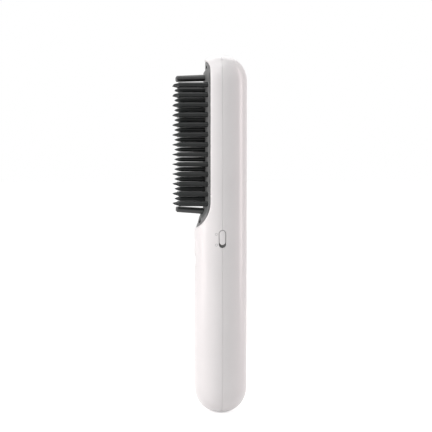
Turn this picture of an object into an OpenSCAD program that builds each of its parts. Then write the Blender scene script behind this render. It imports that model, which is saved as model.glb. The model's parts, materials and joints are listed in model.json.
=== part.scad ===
// Cordless hot comb. Millimetres. +Z runs up the body from the charging end, -X is the side of
// the teeth and the button, -Y is the side of the slide switch. The shells part at X = 0.

/* [Body] */
// Overall length of the capsule body
body_len = 220; // [216:1:240]
// Diameter of the capsule body
body_d = 32.4; // [32:0.1:36]
// Height of each rounded end
dome_len = 17; // [16:0.5:19]
// Squareness of the rounded ends, where 2 is a true ellipse
dome_power = 2.2; // [2:0.05:2.5]
// Wall thickness of both shells
wall = 2; // [1.8:0.1:2.2]
// Height of the tongue that crosses the parting line
tongue_h = 1.5; // [1:0.1:2]
// Thickness of that tongue
tongue_t = 0.9; // [0.7:0.1:1]
// Width of the parting line
seam_w = 0.1; // [0.05:0.05:0.2]

/* [Comb opening] */
// Distance of the opening's flat rim in front of the body axis
rim_x = 7.06; // [6.8:0.02:7.4]
// Distance from the top of the body to the end of the straight rim
rim_top_gap = 9; // [8.7:0.05:9.4]
// Radius of the rim's upper corner
rim_top_r = 7; // [6.5:0.1:7.5]
// Radius of the rim's long lower curve
rim_low_r = 20; // [18:0.5:22]
// Depth of the seat for the comb cover, behind the rim
seat_depth = 2.45; // [2.2:0.05:2.6]
// Thickness of the lip left around that seat
lip_t = 1.1; // [1:0.05:1.3]

/* [Comb cover] */
// Height of the cover's crown in front of the rim
flange_rise = 2.44; // [2.2:0.02:2.6]
// Height of the raised field above the cover
field_rise = 1.1; // [0.8:0.1:1.3]
// Half width of the raised field
field_half_w = 11.9; // [11.7:0.1:12.1]
// Radius of the crown across the comb
crown_r = 28; // [27:0.5:32]
// Thickness of the cover
cover_t = 1.6; // [1.4:0.1:1.7]
// Radius of the cover's lower curve along the middle
flange_curve_r = 22.4; // [22:0.1:23]
// Radius of the raised field's lower curve
field_curve_r = 17.4; // [17:0.1:18]

/* [Teeth] */
// Teeth in each long column
tooth_rows = 13; // [11:1:13]
// From the battery cell's upper end up to the lowest teeth
control_len = 39.92; // [39:0.02:44]
// Distance between columns
column_pitch = 4.8; // [4.6:0.05:4.9]
// Distance from the end of the straight rim down to the first tooth
row_top_gap = 9.4; // [9.2:0.05:10.5]
// Reach of the long columns' tips in front of the body axis
tooth_reach = 29.3; // [25:0.1:33]
// How much shorter the teeth of the other columns are
inner_drop = 1.1; // [0:0.1:2]
// Diameter of a tooth at its root
tooth_root_d = 3; // [2.9:0.1:3.1]
// Diameter of a tooth at its shoulder
tooth_end_d = 2.8; // [2.6:0.1:2.8]
// Length of the long columns' pointed caps
cap_len = 2.8; // [2.5:0.1:3.5]
// Diameter of those caps at their base
cap_base_d = 1.9; // [1.8:0.1:2.2]
// Length of the other columns' pointed caps
inner_cap_len = 4.2; // [3.5:0.1:5]
// Diameter of the blunt guard teeth
guard_d = 3.6; // [3.2:0.1:3.8]
// Distance from the last pointed teeth to the guard teeth
guard_gap = 4.65; // [4.5:0.05:5]
// Inward lean of the upper and lower guard teeth
guard_lean = [2.1, 3.7]; // [0:0.1:5]

/* [Heater] */
// Distance of the heat plate's flat back in front of the body axis
plate_back_x = 4.6; // [4.4:0.1:4.6]
// Heater thickness
heater_t = 2; // [1.6:0.1:2.2]
// Heater width
heater_w = 16; // [12:0.5:17]
// Insulating sheet thickness
mica_t = 0.3; // [0.2:0.1:0.4]
// Pressure plate thickness
pressure_t = 1; // [0.8:0.1:1.2]
// Thickness of the head frame behind the pressure plate
frame_floor_t = 1.7; // [1.5:0.1:2]

/* [Handle controls] */
// From the lower end of the opening down to the middle of the slide switch
switch_gap = 5.7; // [5.5:0.1:6.1]
// Width of the switch slot
slot_w = 4.4; // [4:0.1:4.8]
// Length of the switch slot
slot_len = 10.9; // [10.9:0.1:11.6]
// Length of the knob in the slot
knob_len = 8.7; // [8:0.1:8.7]
// Travel of the slide switch
switch_travel = 1.6; // [1.2:0.1:1.6]
// From the slide switch down to the middle of the push button
button_gap = 13.7; // [12.8:0.1:14.5]
// Diameter of the push button
button_d = 9; // [8:0.1:10]
// Depth of the flat round seat that the button shows in
button_recess = 0.6; // [0.4:0.05:0.8]
// Travel of the push button
button_travel = 0.4; // [0.2:0.05:0.45]

/* [Power] */
// Battery cell diameter
cell_d = 18.4; // [17.8:0.1:18.6]
// Battery cell length
cell_len = 65.2; // [60:0.1:66]
// Height of the cell's lower end
cell_z = 24; // [23.5:0.1:24.5]
// Main board thickness
board_t = 1.2; // [1:0.1:1.6]
// Main board width
board_w = 16; // [14:0.5:17]
// Socket opening width
port_w = 9; // [8.6:0.1:9.2]
// Socket opening height
port_h = 3.3; // [3.1:0.1:3.4]

/* [Fits] */
// Gap between pieces that are fastened together
fit_gap = 0.15; // [0.1:0.05:0.2]
// Gap beside pieces that slide
slide_gap = 0.2; // [0.15:0.05:0.3]
// Gap between the inner pieces and the inside of the shells
inner_gap = 0.35; // [0.3:0.05:0.45]
// Radial gap around screws, pins and pressed studs
pin_gap = 0.05; // [0.03:0.01:0.08]

/* [Hidden] */
$fn = 64;
big = 400;

shell_white = [0.93, 0.92, 0.92];
knob_white = [0.88, 0.87, 0.87];
cover_grey = [0.22, 0.23, 0.23];
tooth_grey = [0.15, 0.16, 0.16];
cap_grey = [0.12, 0.12, 0.12];
steel = [0.7, 0.7, 0.72];
board_green = [0.1, 0.35, 0.2];

body_r = body_d / 2;
inner_r = body_r - wall;
dome_steps = 12;
arc_steps = 16;

cover_side_t = 1.4;

// Heights of the opening, the rows and the controls, counted down from the top of the body
rim_top_z = body_len - rim_top_gap;
head_top_z = rim_top_z + 2.2;
row_top_z = rim_top_z - row_top_gap;
cell_top_z = cell_z + cell_len;
row_low_z = cell_top_z + control_len;
row_pitch = (row_top_z - row_low_z) / (tooth_rows - 1);
curve_lead = 1.4;
curve_z = row_low_z + curve_lead;
exit_z = curve_z - sqrt(pow(rim_low_r, 2) - pow(rim_low_r + rim_x - body_r, 2));
switch_z = exit_z - switch_gap;
button_z = switch_z - button_gap;

// Depths in front of the axis along the middle of the comb
flange_x = rim_x + flange_rise;
field_x = flange_x + field_rise;
field_crown_r = crown_r + field_rise;
// The slanted facets that end the raised field above and below the rows
field_top_lean = 57;
field_end_lean = 15.3;
field_end_gap = 8;
field_end_x = field_x + field_curve_r - sqrt(pow(field_curve_r, 2) - pow(field_end_gap, 2));

// The heat plate, a little below the inside of the raised field
plate_gap = 0.3;
plate_x = field_x - cover_t - plate_gap;
plate_crown_r = field_crown_r - cover_t - plate_gap;
plate_half_w = field_half_w - 0.8;
plate_margin = 2.2;
plate_low_z = row_low_z - plate_margin;
plate_top_z = row_top_z + plate_margin;
stud_r = 1.2;
stud_len = 2;
spigot_r = 0.5;
spigot_len = 0.8;
cap_tip_r = 0.3;
cap_steps = 6;

columns = [-2, -1, 0, 1, 2];
guard_collar_r = 2;
guard_collar_t = 0.8;
guard_collar_z = 0.5;
guard_base_x = crown_x(field_x - cover_t, field_crown_r - cover_t, column_pitch);
guard_len = tooth_reach - 1.7 - guard_base_x;
guard_taper = 0.3;
guard_corner_r = 1;

// Screws: shank radius, head radius, head height
screw_r = 0.75;
screw_head_r = 1.4;
screw_head_h = 1;
frame_screw_r = 1;
frame_head_r = 1.9;
frame_head_h = 1.2;
post_r = 2.6;
cover_post_r = 2.4;
// The cover's screws: distance from the middle, height, depth of the post's foot, length of the shank
cover_fixings = [[4.8, head_top_z - 1.3, flange_x - 3.8, 4.7], [6.2, curve_z - 11.7, flange_x - 1.2, 6.8]];
cover_top = cover_fixings[0];
cover_low = cover_fixings[1];
cover_floor_t = 0.8;
frame_screw_len = 12;
chassis_screw_len = 8;
board_screw_len = 4;

// Head frame
heater_back_x = plate_back_x - heater_t - mica_t - pressure_t;
frame_back_x = heater_back_x - frame_floor_t;
frame_low_z = exit_z + 3;
frame_top_z = head_top_z + 0.6;
heater_low_z = row_low_z + 4;
heater_top_z = row_top_z - 4;
heater_len = heater_top_z - heater_low_z;
frame_screw_low_z = frame_low_z + 4.5;
frame_screw_top_z = frame_top_z - 5;

// Handle
board_room = 4.6;
board_front_x = inner_r - board_room;
board_back_x = board_front_x - board_t;
cell_x = inner_r - 1.5 - cell_d / 2;
bulkhead_t = 2;
tab_room = 0.6;
bulkhead_low_z = cell_z - tab_room - bulkhead_t;
bulkhead_high_z = cell_top_z + tab_room;
rail_y = 6;
rail_w = 3;
rail_back_x = 4;
board_low_z = cell_z - 6;
board_top_z = exit_z - 2;
board_screw_y = 6;
board_screw_low_z = bulkhead_low_z - 2;
board_screw_top_z = bulkhead_high_z + bulkhead_t + 4.2;
low_post_y = 7.6;
low_post_z = bulkhead_low_z - 3.2;
high_post_y = 6;
high_post_z = bulkhead_high_z + bulkhead_t + 3.2;
lead_notch_w = 6.8;
pad_front_x = 1;
pad_t = 2.5;
post_top_x = pad_t - pad_front_x;

// Snap tabs
tab_t = 1.4;
tab_w = 6;
tab_end_x = 3.2;
barb_x = 2;
barb_h = 0.4;
tab_y = sqrt(pow(inner_r, 2) - pow(tab_end_x, 2)) - inner_gap;
tab_heights = [cell_z + 14, cell_z + 47];

// Heater parts and leads
fuse_z = heater_low_z + heater_len * 0.53;
fuse_r = 1.6;
fuse_len = 10;
thermistor_z = heater_low_z + heater_len * 0.18;
thermistor_r = 0.9;
thermistor_len = 5;
fuse_x = fuse_r - heater_back_x;
thermistor_x = thermistor_r - heater_back_x;
lead_d = 1.3;
thin_d = 0.8;
cell_lead_d = 0.7;
heater_lead_x = plate_back_x - heater_t / 2;

// Push button
button_r = button_d / 2;
button_face_x = body_r - button_recess;
ring_x = inner_r - 1.2;
ring_w = 1.6;
button_flange_r = button_r + 1;
button_flange_x = ring_x - 0.1;
button_flange_t = 0.8;
tact_h = 1.6;
tact_w = 6;
tact_r = 1.5;
tact_top_x = button_flange_x - button_flange_t - 0.3;

// Slide switch, with its depths measured from the axis towards -Y
knob_w = slot_w - 3 * slide_gap;
knob_inset = 0.1;
knob_rest_z = switch_z + switch_travel / 2;
shutter_w = slot_w + 2;
shutter_out_y = sqrt(pow(inner_r, 2) - pow(shutter_w / 2, 2)) - inner_gap;
shutter_t = 0.8;
shutter_len = slot_len + switch_travel + 1.6;
switch_board_y = 6.4;
switch_board_t = 1.2;
switch_body_y = switch_board_y + switch_board_t;
switch_body_h = 3.4;
lever_w = 1.8;
lever_y = switch_body_y + switch_body_h;
fork_t = 1.2;

// Charging socket
socket_z = 0.6;
socket_len = 7.4;
socket_wall = 0.25;
charge_board_x = port_h / 2;
charge_board_t = 1;
charge_board_low_z = 4.5;
charge_board_top_z = 15;
charge_board_w = 10;

// Superellipse of radius r and height h, from the axis out to the cylinder
function dome(r, h) = [for (i = [0:dome_steps]) let (a = 90 * i / dome_steps)
    [r * pow(sin(a), 2 / dome_power), h * pow(cos(a), 2 / dome_power)]];
// Points of an arc about c, from angle a to angle b
function arc(c, r, a, b) = [for (i = [0:arc_steps]) let (t = a + (b - a) * i / arc_steps)
    c + r * [cos(t), sin(t)]];
// Height of tooth i of a column; the even columns stand half a pitch lower
function row_z(column, i) = row_top_z - (i + (column % 2 == 0 ? 0 : 0.5)) * row_pitch;
function rows_in(column) = column % 2 == 0 ? tooth_rows : tooth_rows - 1;
function reach_of(column) = tooth_reach - (column % 2 == 0 ? 0 : inner_drop);
function shoulder_of(column) = reach_of(column) - (column % 2 == 0 ? cap_len : inner_cap_len);
// Depth of a crown of radius r, with the middle at depth x, at the distance y from the middle
function crown_x(x, r, y) = x - r + sqrt(r * r - y * y);

// The body's solid shape, shrunk by inset
module capsule(inset) {
    r = body_r - inset;
    h = dome_len - inset;
    rim = dome(r, h);
    low = [for (p = rim) [p[0], dome_len - p[1]]];
    high = [for (i = [dome_steps:-1:0]) [rim[i][0], body_len - dome_len + rim[i][1]]];
    rotate_extrude() polygon(concat(low, high));
}

// Everything with X at or above x
module behind(x) {
    translate([x, -big / 2, -big / 2]) cube([big, big, 2 * big]);
}

// Everything with X at or below x
module ahead(x) {
    translate([x - big, -big / 2, -big / 2]) cube([big, big, 2 * big]);
}

// A box given by its two corners
module box(a, b) {
    translate(a) cube(b - a);
}

// Turns a drawing in X and Z into a solid along Y
module along_y(width) {
    rotate([90, 0, 0]) linear_extrude(height = width, center = true) children();
}

// A cylinder along X from x0 to x1, at the given Y and Z
module x_cylinder(x0, x1, y, z, r, r2) {
    translate([x0, y, z]) rotate([0, 90, 0]) cylinder(r1 = r, r2 = is_undef(r2) ? r : r2, h = x1 - x0);
}

// The cut for the comb, moved into the shell by grow
module opening(grow) {
    line_x = grow - rim_x;
    low_c = [-rim_x - rim_low_r, curve_z];
    top_c = [-rim_x - rim_top_r, rim_top_z];
    along_y(3 * body_d) polygon(concat(
        arc(low_c, rim_low_r + grow, -90, 0),
        arc(top_c, rim_top_r + grow, 0, 90),
        [[-2 * body_d, rim_top_z + rim_top_r + grow], [-2 * body_d, low_c[1] - rim_low_r - grow]]));
}

// Rounded slot shape along Z
module stadium(w, len) {
    square([w, len - w], center = true);
    for (s = [-1, 1]) translate([0, s * (len - w) / 2]) circle(d = w);
}

// A stadium prism through the -Y wall
module side_slot(w, len, z, y_in, y_out) {
    translate([0, -y_in, z]) rotate([90, 0, 0]) linear_extrude(height = y_out - y_in) stadium(w, len);
}

// Opening in the lower end for the charging socket
module port_cut(gap) {
    rotate([0, 0, 90]) linear_extrude(height = dome_len, center = true)
        rotate([0, 0, 90]) stadium(port_h + 2 * gap, port_w + 2 * gap);
}

// Tube along hand-set points, smoothed by a Catmull-Rom curve
function smooth(p, i, t) = let (
    a = p[max(i - 1, 0)], b = p[i], c = p[i + 1], d = p[min(i + 2, len(p) - 1)])
    0.5 * ((2 * b) + (c - a) * t + (2 * a - 5 * b + 4 * c - d) * t * t
        + (3 * b - a - 3 * c + d) * t * t * t);
function route(p, steps) = concat(
    [for (i = [0:len(p) - 2], s = [0:steps - 1]) smooth(p, i, s / steps)], [p[len(p) - 1]]);
function unit(v) = v / norm(v);
module wire(points, d) {
    steps = 4;
    sides = 8;
    path = route(points, steps);
    last = len(path) - 1;
    rings = [for (i = [0:last]) let (
        t = unit(path[min(i + 1, last)] - path[max(i - 1, 0)]),
        u = unit(cross(t, [0.31, 1, 0.17])),
        v = cross(t, u))
        [for (k = [0:sides - 1]) path[i] + d / 2 * (cos(360 * k / sides) * u + sin(360 * k / sides) * v)]];
    polyhedron(
        points = [for (ring = rings) each ring],
        faces = concat(
            [[for (k = [0:sides - 1]) k]],
            [for (i = [0:last - 1], k = [0:sides - 1]) let (n = (k + 1) % sides)
                [i * sides + n, i * sides + k, (i + 1) * sides + k, (i + 1) * sides + n]],
            [[for (k = [sides - 1:-1:0]) last * sides + k]]));
}

// ---- Shells ----

module button_ring() {
    intersection() {
        capsule(wall / 2);
        x_cylinder(-body_r, -ring_x, 0, button_z, button_r + slide_gap + ring_w);
    }
}

// A tab on the front shell whose barb snaps into a pocket of the rear shell, on the side of +Y
module snap_tab(z) {
    intersection() {
        capsule(wall / 2);
        union() {
            box([-7.5, tab_y - tab_t, z - tab_w / 2], [tab_end_x, tab_y, z + tab_w / 2]);
            box([barb_x, tab_y - barb_h / 2, z - tab_w / 2], [tab_end_x, tab_y + barb_h, z + tab_w / 2]);
        }
    }
}

module snap_pocket(z) {
    box([barb_x - fit_gap * 2, inner_r - 3, z - tab_w / 2 - inner_gap],
        [tab_end_x + inner_gap, tab_y + barb_h + slide_gap, z + tab_w / 2 + inner_gap]);
}

// Its children, and their mirror image on the other side
module both_sides() {
    children();
    mirror([0, 1, 0]) children();
}

module front_shell() color(shell_white) difference() {
    union() {
        difference() {
            capsule(0);
            capsule(wall);
            behind(-seam_w / 2);
            intersection() {
                capsule(wall - tongue_t - fit_gap);
                behind(-tongue_h - fit_gap);
            }
            opening(0);
            intersection() {
                capsule(lip_t);
                opening(seat_depth);
            }
        }
        button_ring();
        both_sides() for (z = tab_heights) snap_tab(z);
    }
    x_cylinder(-2 * body_r, -ring_x + 1, 0, button_z, button_r + slide_gap);
    x_cylinder(-2 * body_r, -button_face_x, 0, button_z, button_r + slide_gap + 0.1);
    side_slot(slot_w, slot_len, switch_z, 0, body_d);
    port_cut(fit_gap);
}

module rear_posts() {
    intersection() {
        capsule(wall / 2);
        union() {
            for (s = [-1, 1]) x_cylinder(post_top_x, body_r, s * low_post_y, low_post_z, post_r);
            x_cylinder(post_top_x, body_r, high_post_y, high_post_z, post_r);
            for (z = [frame_screw_low_z, frame_screw_top_z]) x_cylinder(-frame_back_x, body_r, 0, z, post_r);
        }
    }
}

module rear_ribs() {
    for (z = [cell_z + 6, cell_z + cell_len / 2, cell_top_z - 6]) difference() {
        intersection() {
            capsule(wall / 2);
            box([cell_x + 2, -inner_r, z - 0.75], [body_r, inner_r, z + 0.75]);
        }
        translate([cell_x, 0, 0]) cylinder(r = cell_d / 2 + 0.2, h = body_len);
    }
    for (s = [-1, 1]) intersection() {
        capsule(wall / 2);
        box([charge_board_x + charge_board_t, s * 3.6 - 0.8, 2.5],
            [body_r, s * 3.6 + 0.8, charge_board_top_z - 1]);
    }
}

module rear_shell() color(shell_white) difference() {
    union() {
        difference() {
            capsule(0);
            capsule(wall);
            difference() {
                ahead(seam_w / 2);
                capsule(wall - tongue_t);
            }
            ahead(-tongue_h);
            both_sides() for (z = tab_heights) snap_pocket(z);
        }
        rear_posts();
        rear_ribs();
    }
    for (s = [-1, 1]) x_cylinder(0, body_r - wall - 1, s * low_post_y, low_post_z, frame_screw_r + pin_gap);
    x_cylinder(0, body_r - wall - 3, high_post_y, high_post_z, frame_screw_r + pin_gap);
    for (z = [frame_screw_low_z, frame_screw_top_z])
        x_cylinder(-2, body_r - wall - 3, 0, z, frame_screw_r + pin_gap);
    side_slot(slot_w, slot_len, switch_z, 0, body_d);
    port_cut(fit_gap);
}

// ---- Comb cover ----

// Crowned section: the outside is an arc of radius r, and depth grows with X from the crown
module crown_section(r, half_w, depth) {
    intersection() {
        translate([r, 0]) circle(r = r);
        translate([0, -half_w]) square([depth, 2 * half_w]);
    }
}

// A crowned bar with its middle at depth x, bent forward at its lower end with radius curve_r
module crowned_bar(x, r, half_w, depth, curve_r, z0, z1, bend) {
    translate([-x, 0, z0]) linear_extrude(height = z1 - z0) crown_section(r, half_w, depth);
    translate([-x - curve_r, 0, z0]) rotate([-90, 0, 0])
        rotate_extrude(angle = bend, $fn = 128) translate([curve_r, 0]) crown_section(r, half_w, depth);
}

module cover_outside() {
    crowned_bar(flange_x, crown_r, body_r, 9, flange_curve_r, curve_z, body_len, 60);
    difference() {
        crowned_bar(field_x, field_crown_r, field_half_w, 4, field_curve_r, curve_z, cover_top[1] - 1.8,
            60);
        translate([-field_end_x, 0, curve_z - field_end_gap]) rotate([0, field_end_lean, 0])
            translate([-body_d, -body_r, -body_d]) cube(body_d);
        translate([-field_x, 0, cover_top[1] - 2.8]) rotate([0, -field_top_lean, 0])
            translate([-10, -body_r, 0]) cube([30, body_d, 10]);
    }
}

module cover_inside() {
    crowned_bar(flange_x - cover_t, crown_r - cover_t, field_half_w - 0.4, 12, flange_curve_r + cover_t,
        curve_z, body_len, 60);
    intersection() {
        crowned_bar(field_x - cover_t, field_crown_r - cover_t, field_half_w - 0.4, 12, field_curve_r + cover_t,
            curve_z, cover_top[1] - 3.6, 22);
        behind(-body_r);
    }
}

module cover_screw_posts() {
    for (s = [-1, 1], f = cover_fixings) x_cylinder(-body_r, -f[2], s * f[0], f[1], cover_post_r);
}

// Puts its children where a guard tooth leaves the cover, with +Z along the tooth
module guard_peg(y, end) {
    z = end > 0 ? row_top_z + guard_gap : row_low_z - guard_gap;
    lean = end > 0 ? -guard_lean[0] : guard_lean[1];
    translate([-guard_base_x, y, z]) rotate([0, lean - 90, 0]) children();
}

module comb_cover() color(cover_grey) difference() {
    intersection() {
        cover_outside();
        capsule(lip_t + fit_gap);
        opening(seat_depth - 0.05);
    }
    difference() {
        intersection() {
            cover_inside();
            capsule(lip_t + fit_gap + cover_side_t);
        }
        cover_screw_posts();
    }
    for (c = [0:4], i = [0:rows_in(c) - 1])
        x_cylinder(-body_r, 0, columns[c] * column_pitch, row_z(c, i), tooth_root_d / 2 + fit_gap);
    for (s = [-1, 1], end = [-1, 1]) guard_peg(s * column_pitch, end)
        translate([0, 0, -4]) cylinder(d = guard_d + 2 * pin_gap, h = 12);
    for (s = [-1, 1], f = cover_fixings) {
        x_cylinder(-2 * body_r, -f[2] - cover_floor_t, s * f[0], f[1], screw_head_r + pin_gap);
        x_cylinder(-2 * body_r, 0, s * f[0], f[1], screw_r + pin_gap);
    }
}

module screw(x, y, z, r, head_r, head_h, len) {
    difference() {
        union() {
            x_cylinder(x, x + len, y, z, r);
            x_cylinder(x - head_h, x, y, z, head_r);
        }
        for (a = [0, 90]) translate([x - head_h, y, z]) rotate([a, 0, 0])
            cube([head_h, head_r * 1.2, head_r * 0.3], center = true);
    }
}

module cover_screws() color(steel) for (s = [-1, 1], f = cover_fixings)
    screw(-f[2] - cover_floor_t, s * f[0], f[1], screw_r, screw_head_r, screw_head_h, f[3]);

module guard_teeth() color(tooth_grey) for (s = [-1, 1], end = [-1, 1]) guard_peg(s * column_pitch, end) {
    end_r = (guard_d - guard_taper) / 2;
    rotate_extrude() polygon(concat([[0, 0], [guard_d / 2, 0]],
        arc([end_r - guard_corner_r, guard_len - guard_corner_r], guard_corner_r, 0, 90),
        [[0, guard_len]]));
    translate([0, 0, -guard_collar_z - guard_collar_t]) cylinder(r = guard_collar_r, h = guard_collar_t);
    translate([0, 0, -guard_collar_z - 0.1]) cylinder(d = guard_d - 0.4, h = guard_collar_z + 0.2);
}

// ---- Teeth and heat plate ----

function plate_face_x(column) = crown_x(plate_x, plate_crown_r, columns[column] * column_pitch);

module tooth_column(column) color(tooth_grey) {
    y = columns[column] * column_pitch;
    face = plate_face_x(column);
    shoulder = shoulder_of(column);
    foot = crown_x(plate_x, plate_crown_r, abs(y) - tooth_root_d / 2) + 0.05;
    for (i = [0:rows_in(column) - 1]) {
        z = row_z(column, i);
        x_cylinder(-shoulder, -foot, y, z, tooth_end_d / 2, tooth_root_d / 2);
        x_cylinder(-foot - 1, stud_len - face, y, z, stud_r);
        x_cylinder(-shoulder - spigot_len, 1 - shoulder, y, z, spigot_r);
    }
}

// The long columns' caps are plain cones, and the other columns' caps are swelled like a bullet
module tooth_caps(column) color(cap_grey) {
    long = column % 2 == 0;
    base_r = (long ? cap_base_d : tooth_end_d) / 2;
    len = long ? cap_len : inner_cap_len;
    swell = long ? 1.1 : 1.7;
    profile = concat([[0, 0], [base_r, 0]],
        [for (k = [1:cap_steps]) let (t = k / cap_steps)
            [cap_tip_r + (base_r - cap_tip_r) * (1 - pow(t, swell)), (len - cap_tip_r) * t]],
        [[cap_tip_r * 0.7, len - cap_tip_r * 0.3], [0, len]]);
    for (i = [0:rows_in(column) - 1])
        translate([-shoulder_of(column), columns[column] * column_pitch, row_z(column, i)])
            rotate([0, -90, 0]) difference() {
                rotate_extrude() polygon(profile);
                translate([0, 0, -1]) cylinder(r = spigot_r + pin_gap, h = 1 + spigot_len + pin_gap);
            }
}

module heat_plate() color(steel) difference() {
    intersection() {
        translate([-plate_x, 0, plate_low_z]) linear_extrude(height = plate_top_z - plate_low_z)
            crown_section(plate_crown_r, plate_half_w, 12);
        ahead(-plate_back_x);
        capsule(lip_t + fit_gap + cover_side_t + plate_gap);
    }
    for (c = [0:4], i = [0:rows_in(c) - 1])
        x_cylinder(-body_r, stud_len + pin_gap - plate_face_x(c), columns[c] * column_pitch, row_z(c, i),
            stud_r + pin_gap);
}

module heater_element() color([0.75, 0.55, 0.3])
    box([-plate_back_x, -heater_w / 2, heater_low_z], [heater_t - plate_back_x, heater_w / 2, heater_top_z]);

module mica_sheet() color([0.8, 0.72, 0.55])
    box([heater_t - plate_back_x, -heater_w / 2 - 0.5, heater_low_z - 1],
        [heater_t + mica_t - plate_back_x, heater_w / 2 + 0.5, heater_top_z + 1]);

module pressure_plate() color(steel)
    box([-heater_back_x - pressure_t, -heater_w / 2 - 0.5, heater_low_z - 1],
        [-heater_back_x, heater_w / 2 + 0.5, heater_top_z + 1]);

module thermal_fuse() color([0.75, 0.7, 0.5])
    translate([fuse_x, 0, fuse_z]) cylinder(r = fuse_r, h = fuse_len);

module thermistor() color([0.6, 0.3, 0.15])
    translate([thermistor_x, 0, thermistor_z]) cylinder(r = thermistor_r, h = thermistor_len);

module head_frame() color([0.35, 0.35, 0.33]) difference() {
    intersection() {
        capsule(wall + inner_gap);
        union() {
            box([-plate_back_x, -body_r, frame_low_z], [-frame_back_x, body_r, frame_top_z]);
            intersection() {
                capsule(wall + 3 * inner_gap);
                box([0.05 - cover_top[2], -8, plate_top_z + plate_gap], [0, 8, frame_top_z]);
            }
            for (s = [-1, 1]) x_cylinder(0.05 - cover_low[2], 0, s * cover_low[0], cover_low[1], cover_post_r);
        }
    }
    box([-2 * plate_back_x, -heater_w / 2 - 0.5 - fit_gap, heater_low_z - 1 - fit_gap],
        [-heater_back_x, heater_w / 2 + 0.5 + fit_gap, heater_top_z + 1 + fit_gap]);
    box([-plate_back_x, -4, heater_low_z - 5], [5, 4, heater_low_z]);
    box([-plate_back_x, -3, thermistor_z - 4], [5, 3, thermistor_z + thermistor_len + 4]);
    box([-plate_back_x, -3, fuse_z - 4], [5, 3, fuse_z + fuse_len + 2]);
    for (s = [-1, 1], f = cover_fixings) x_cylinder(-body_r, 0, s * f[0], f[1], screw_r + pin_gap);
    for (z = [frame_screw_low_z, frame_screw_top_z]) {
        x_cylinder(-body_r, body_r, 0, z, frame_screw_r + pin_gap);
        x_cylinder(-body_r, -plate_back_x + 0.4, 0, z, frame_head_r + fit_gap);
    }
}

module frame_screws() color(steel) for (z = [frame_screw_low_z, frame_screw_top_z])
    screw(0.4 - plate_back_x, 0, z, frame_screw_r, frame_head_r, frame_head_h,
        frame_screw_len);

// ---- Chassis and battery ----

module bulkhead(z) {
    intersection() {
        capsule(wall + inner_gap);
        box([-board_back_x, -10, z], [9, 10, z + bulkhead_t]);
    }
}

module chassis() color([0.3, 0.32, 0.35]) difference() {
    intersection() {
        capsule(wall + inner_gap);
        union() {
            bulkhead(bulkhead_low_z);
            bulkhead(bulkhead_high_z);
            box([-board_back_x, rail_y, bulkhead_low_z - 4], [-rail_back_x, rail_y + rail_w, board_top_z]);
            box([-board_back_x, -rail_y - rail_w, bulkhead_low_z - 4],
                [-rail_back_x, -rail_y, switch_z - 8.5]);
            box([-board_back_x, -switch_board_y, bulkhead_high_z], [4, -switch_board_y + 1.2, board_top_z]);
            box([-board_back_x, -switch_board_y, board_top_z - 2],
                [-rail_back_x, rail_y + rail_w, board_top_z]);
            for (s = [-1, 1]) {
                box([-board_back_x, s * low_post_y - post_r, bulkhead_low_z - 6],
                    [post_top_x, s * low_post_y + post_r, bulkhead_low_z + 1]);
                box([-board_back_x, s * board_screw_y - 2, bulkhead_high_z],
                    [-rail_back_x, s * board_screw_y + 2, board_screw_top_z + 2]);
            }
            box([-pad_front_x, high_post_y - 2.8, bulkhead_high_z],
                [post_top_x, high_post_y + 2.8, high_post_z + 2.8]);
        }
    }
    for (s = [-1, 1]) {
        x_cylinder(-body_r, body_r, s * low_post_y, low_post_z, frame_screw_r + pin_gap);
        x_cylinder(-board_back_x - 1, -pad_front_x, s * low_post_y, low_post_z, frame_head_r + fit_gap);
        for (z = [board_screw_low_z, board_screw_top_z])
            x_cylinder(-body_r, -rail_back_x, s * board_screw_y, z, screw_r + pin_gap);
    }
    x_cylinder(-body_r, body_r, high_post_y, high_post_z, frame_screw_r + pin_gap);
    for (z = [bulkhead_low_z, bulkhead_high_z])
        box([-body_r, -lead_notch_w / 2, z - 1], [cell_x - 2, lead_notch_w / 2, z + bulkhead_t + 1]);
    box([-3.2, -switch_board_y - 1, switch_z - 10.5], [2.8, 2 - switch_board_y, switch_z - 7.2]);
}

module chassis_screws() color(steel) {
    for (s = [-1, 1])
        screw(-pad_front_x, s * low_post_y, low_post_z, frame_screw_r, frame_head_r, frame_head_h,
            chassis_screw_len);
    screw(-pad_front_x, high_post_y, high_post_z, frame_screw_r, frame_head_r, frame_head_h, chassis_screw_len);
}

module battery_cell() color([0.2, 0.45, 0.6]) translate([cell_x, 0, cell_z]) {
    cylinder(d = cell_d, h = cell_len - 1);
    cylinder(d = cell_d / 3, h = cell_len);
}

module battery_tabs() color(steel) {
    translate([cell_x, 0, cell_top_z]) translate([-4, -2.5, 0]) cube([6, 5, 0.2]);
    translate([cell_x, 0, cell_z - 0.2]) translate([-4, -2.5, 0]) cube([6, 5, 0.2]);
}

// ---- Main board ----

// A block on the board's front face, from its middle, its width, its height along Z and its thickness
module on_board(y, z, w, l, h) {
    box([-board_front_x - h, y - w / 2, z - l / 2], [-board_front_x, y + w / 2, z + l / 2]);
}

module main_board() color(board_green) difference() {
    box([-board_front_x, -board_w / 2, board_low_z], [-board_back_x, board_w / 2, board_top_z]);
    for (s = [-1, 1], z = [board_screw_low_z, board_screw_top_z])
        x_cylinder(-body_r, 0, s * board_screw_y, z, screw_r + pin_gap);
}

module board_screws() color(steel) for (s = [-1, 1], z = [board_screw_low_z, board_screw_top_z])
    screw(-board_front_x, s * board_screw_y, z, screw_r, screw_head_r, screw_head_h, board_screw_len);

module control_chip() color([0.12, 0.12, 0.13]) on_board(0, cell_z + 46, 5, 6.5, 1.2);

module power_transistors() color([0.1, 0.1, 0.11]) for (s = [-1, 1])
    on_board(s * 4.2, switch_z - 4.1, 4, 5, 1.4);

module inductor() color([0.2, 0.2, 0.2]) on_board(-1, cell_z + 14, 6, 6, 2.2);

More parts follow.
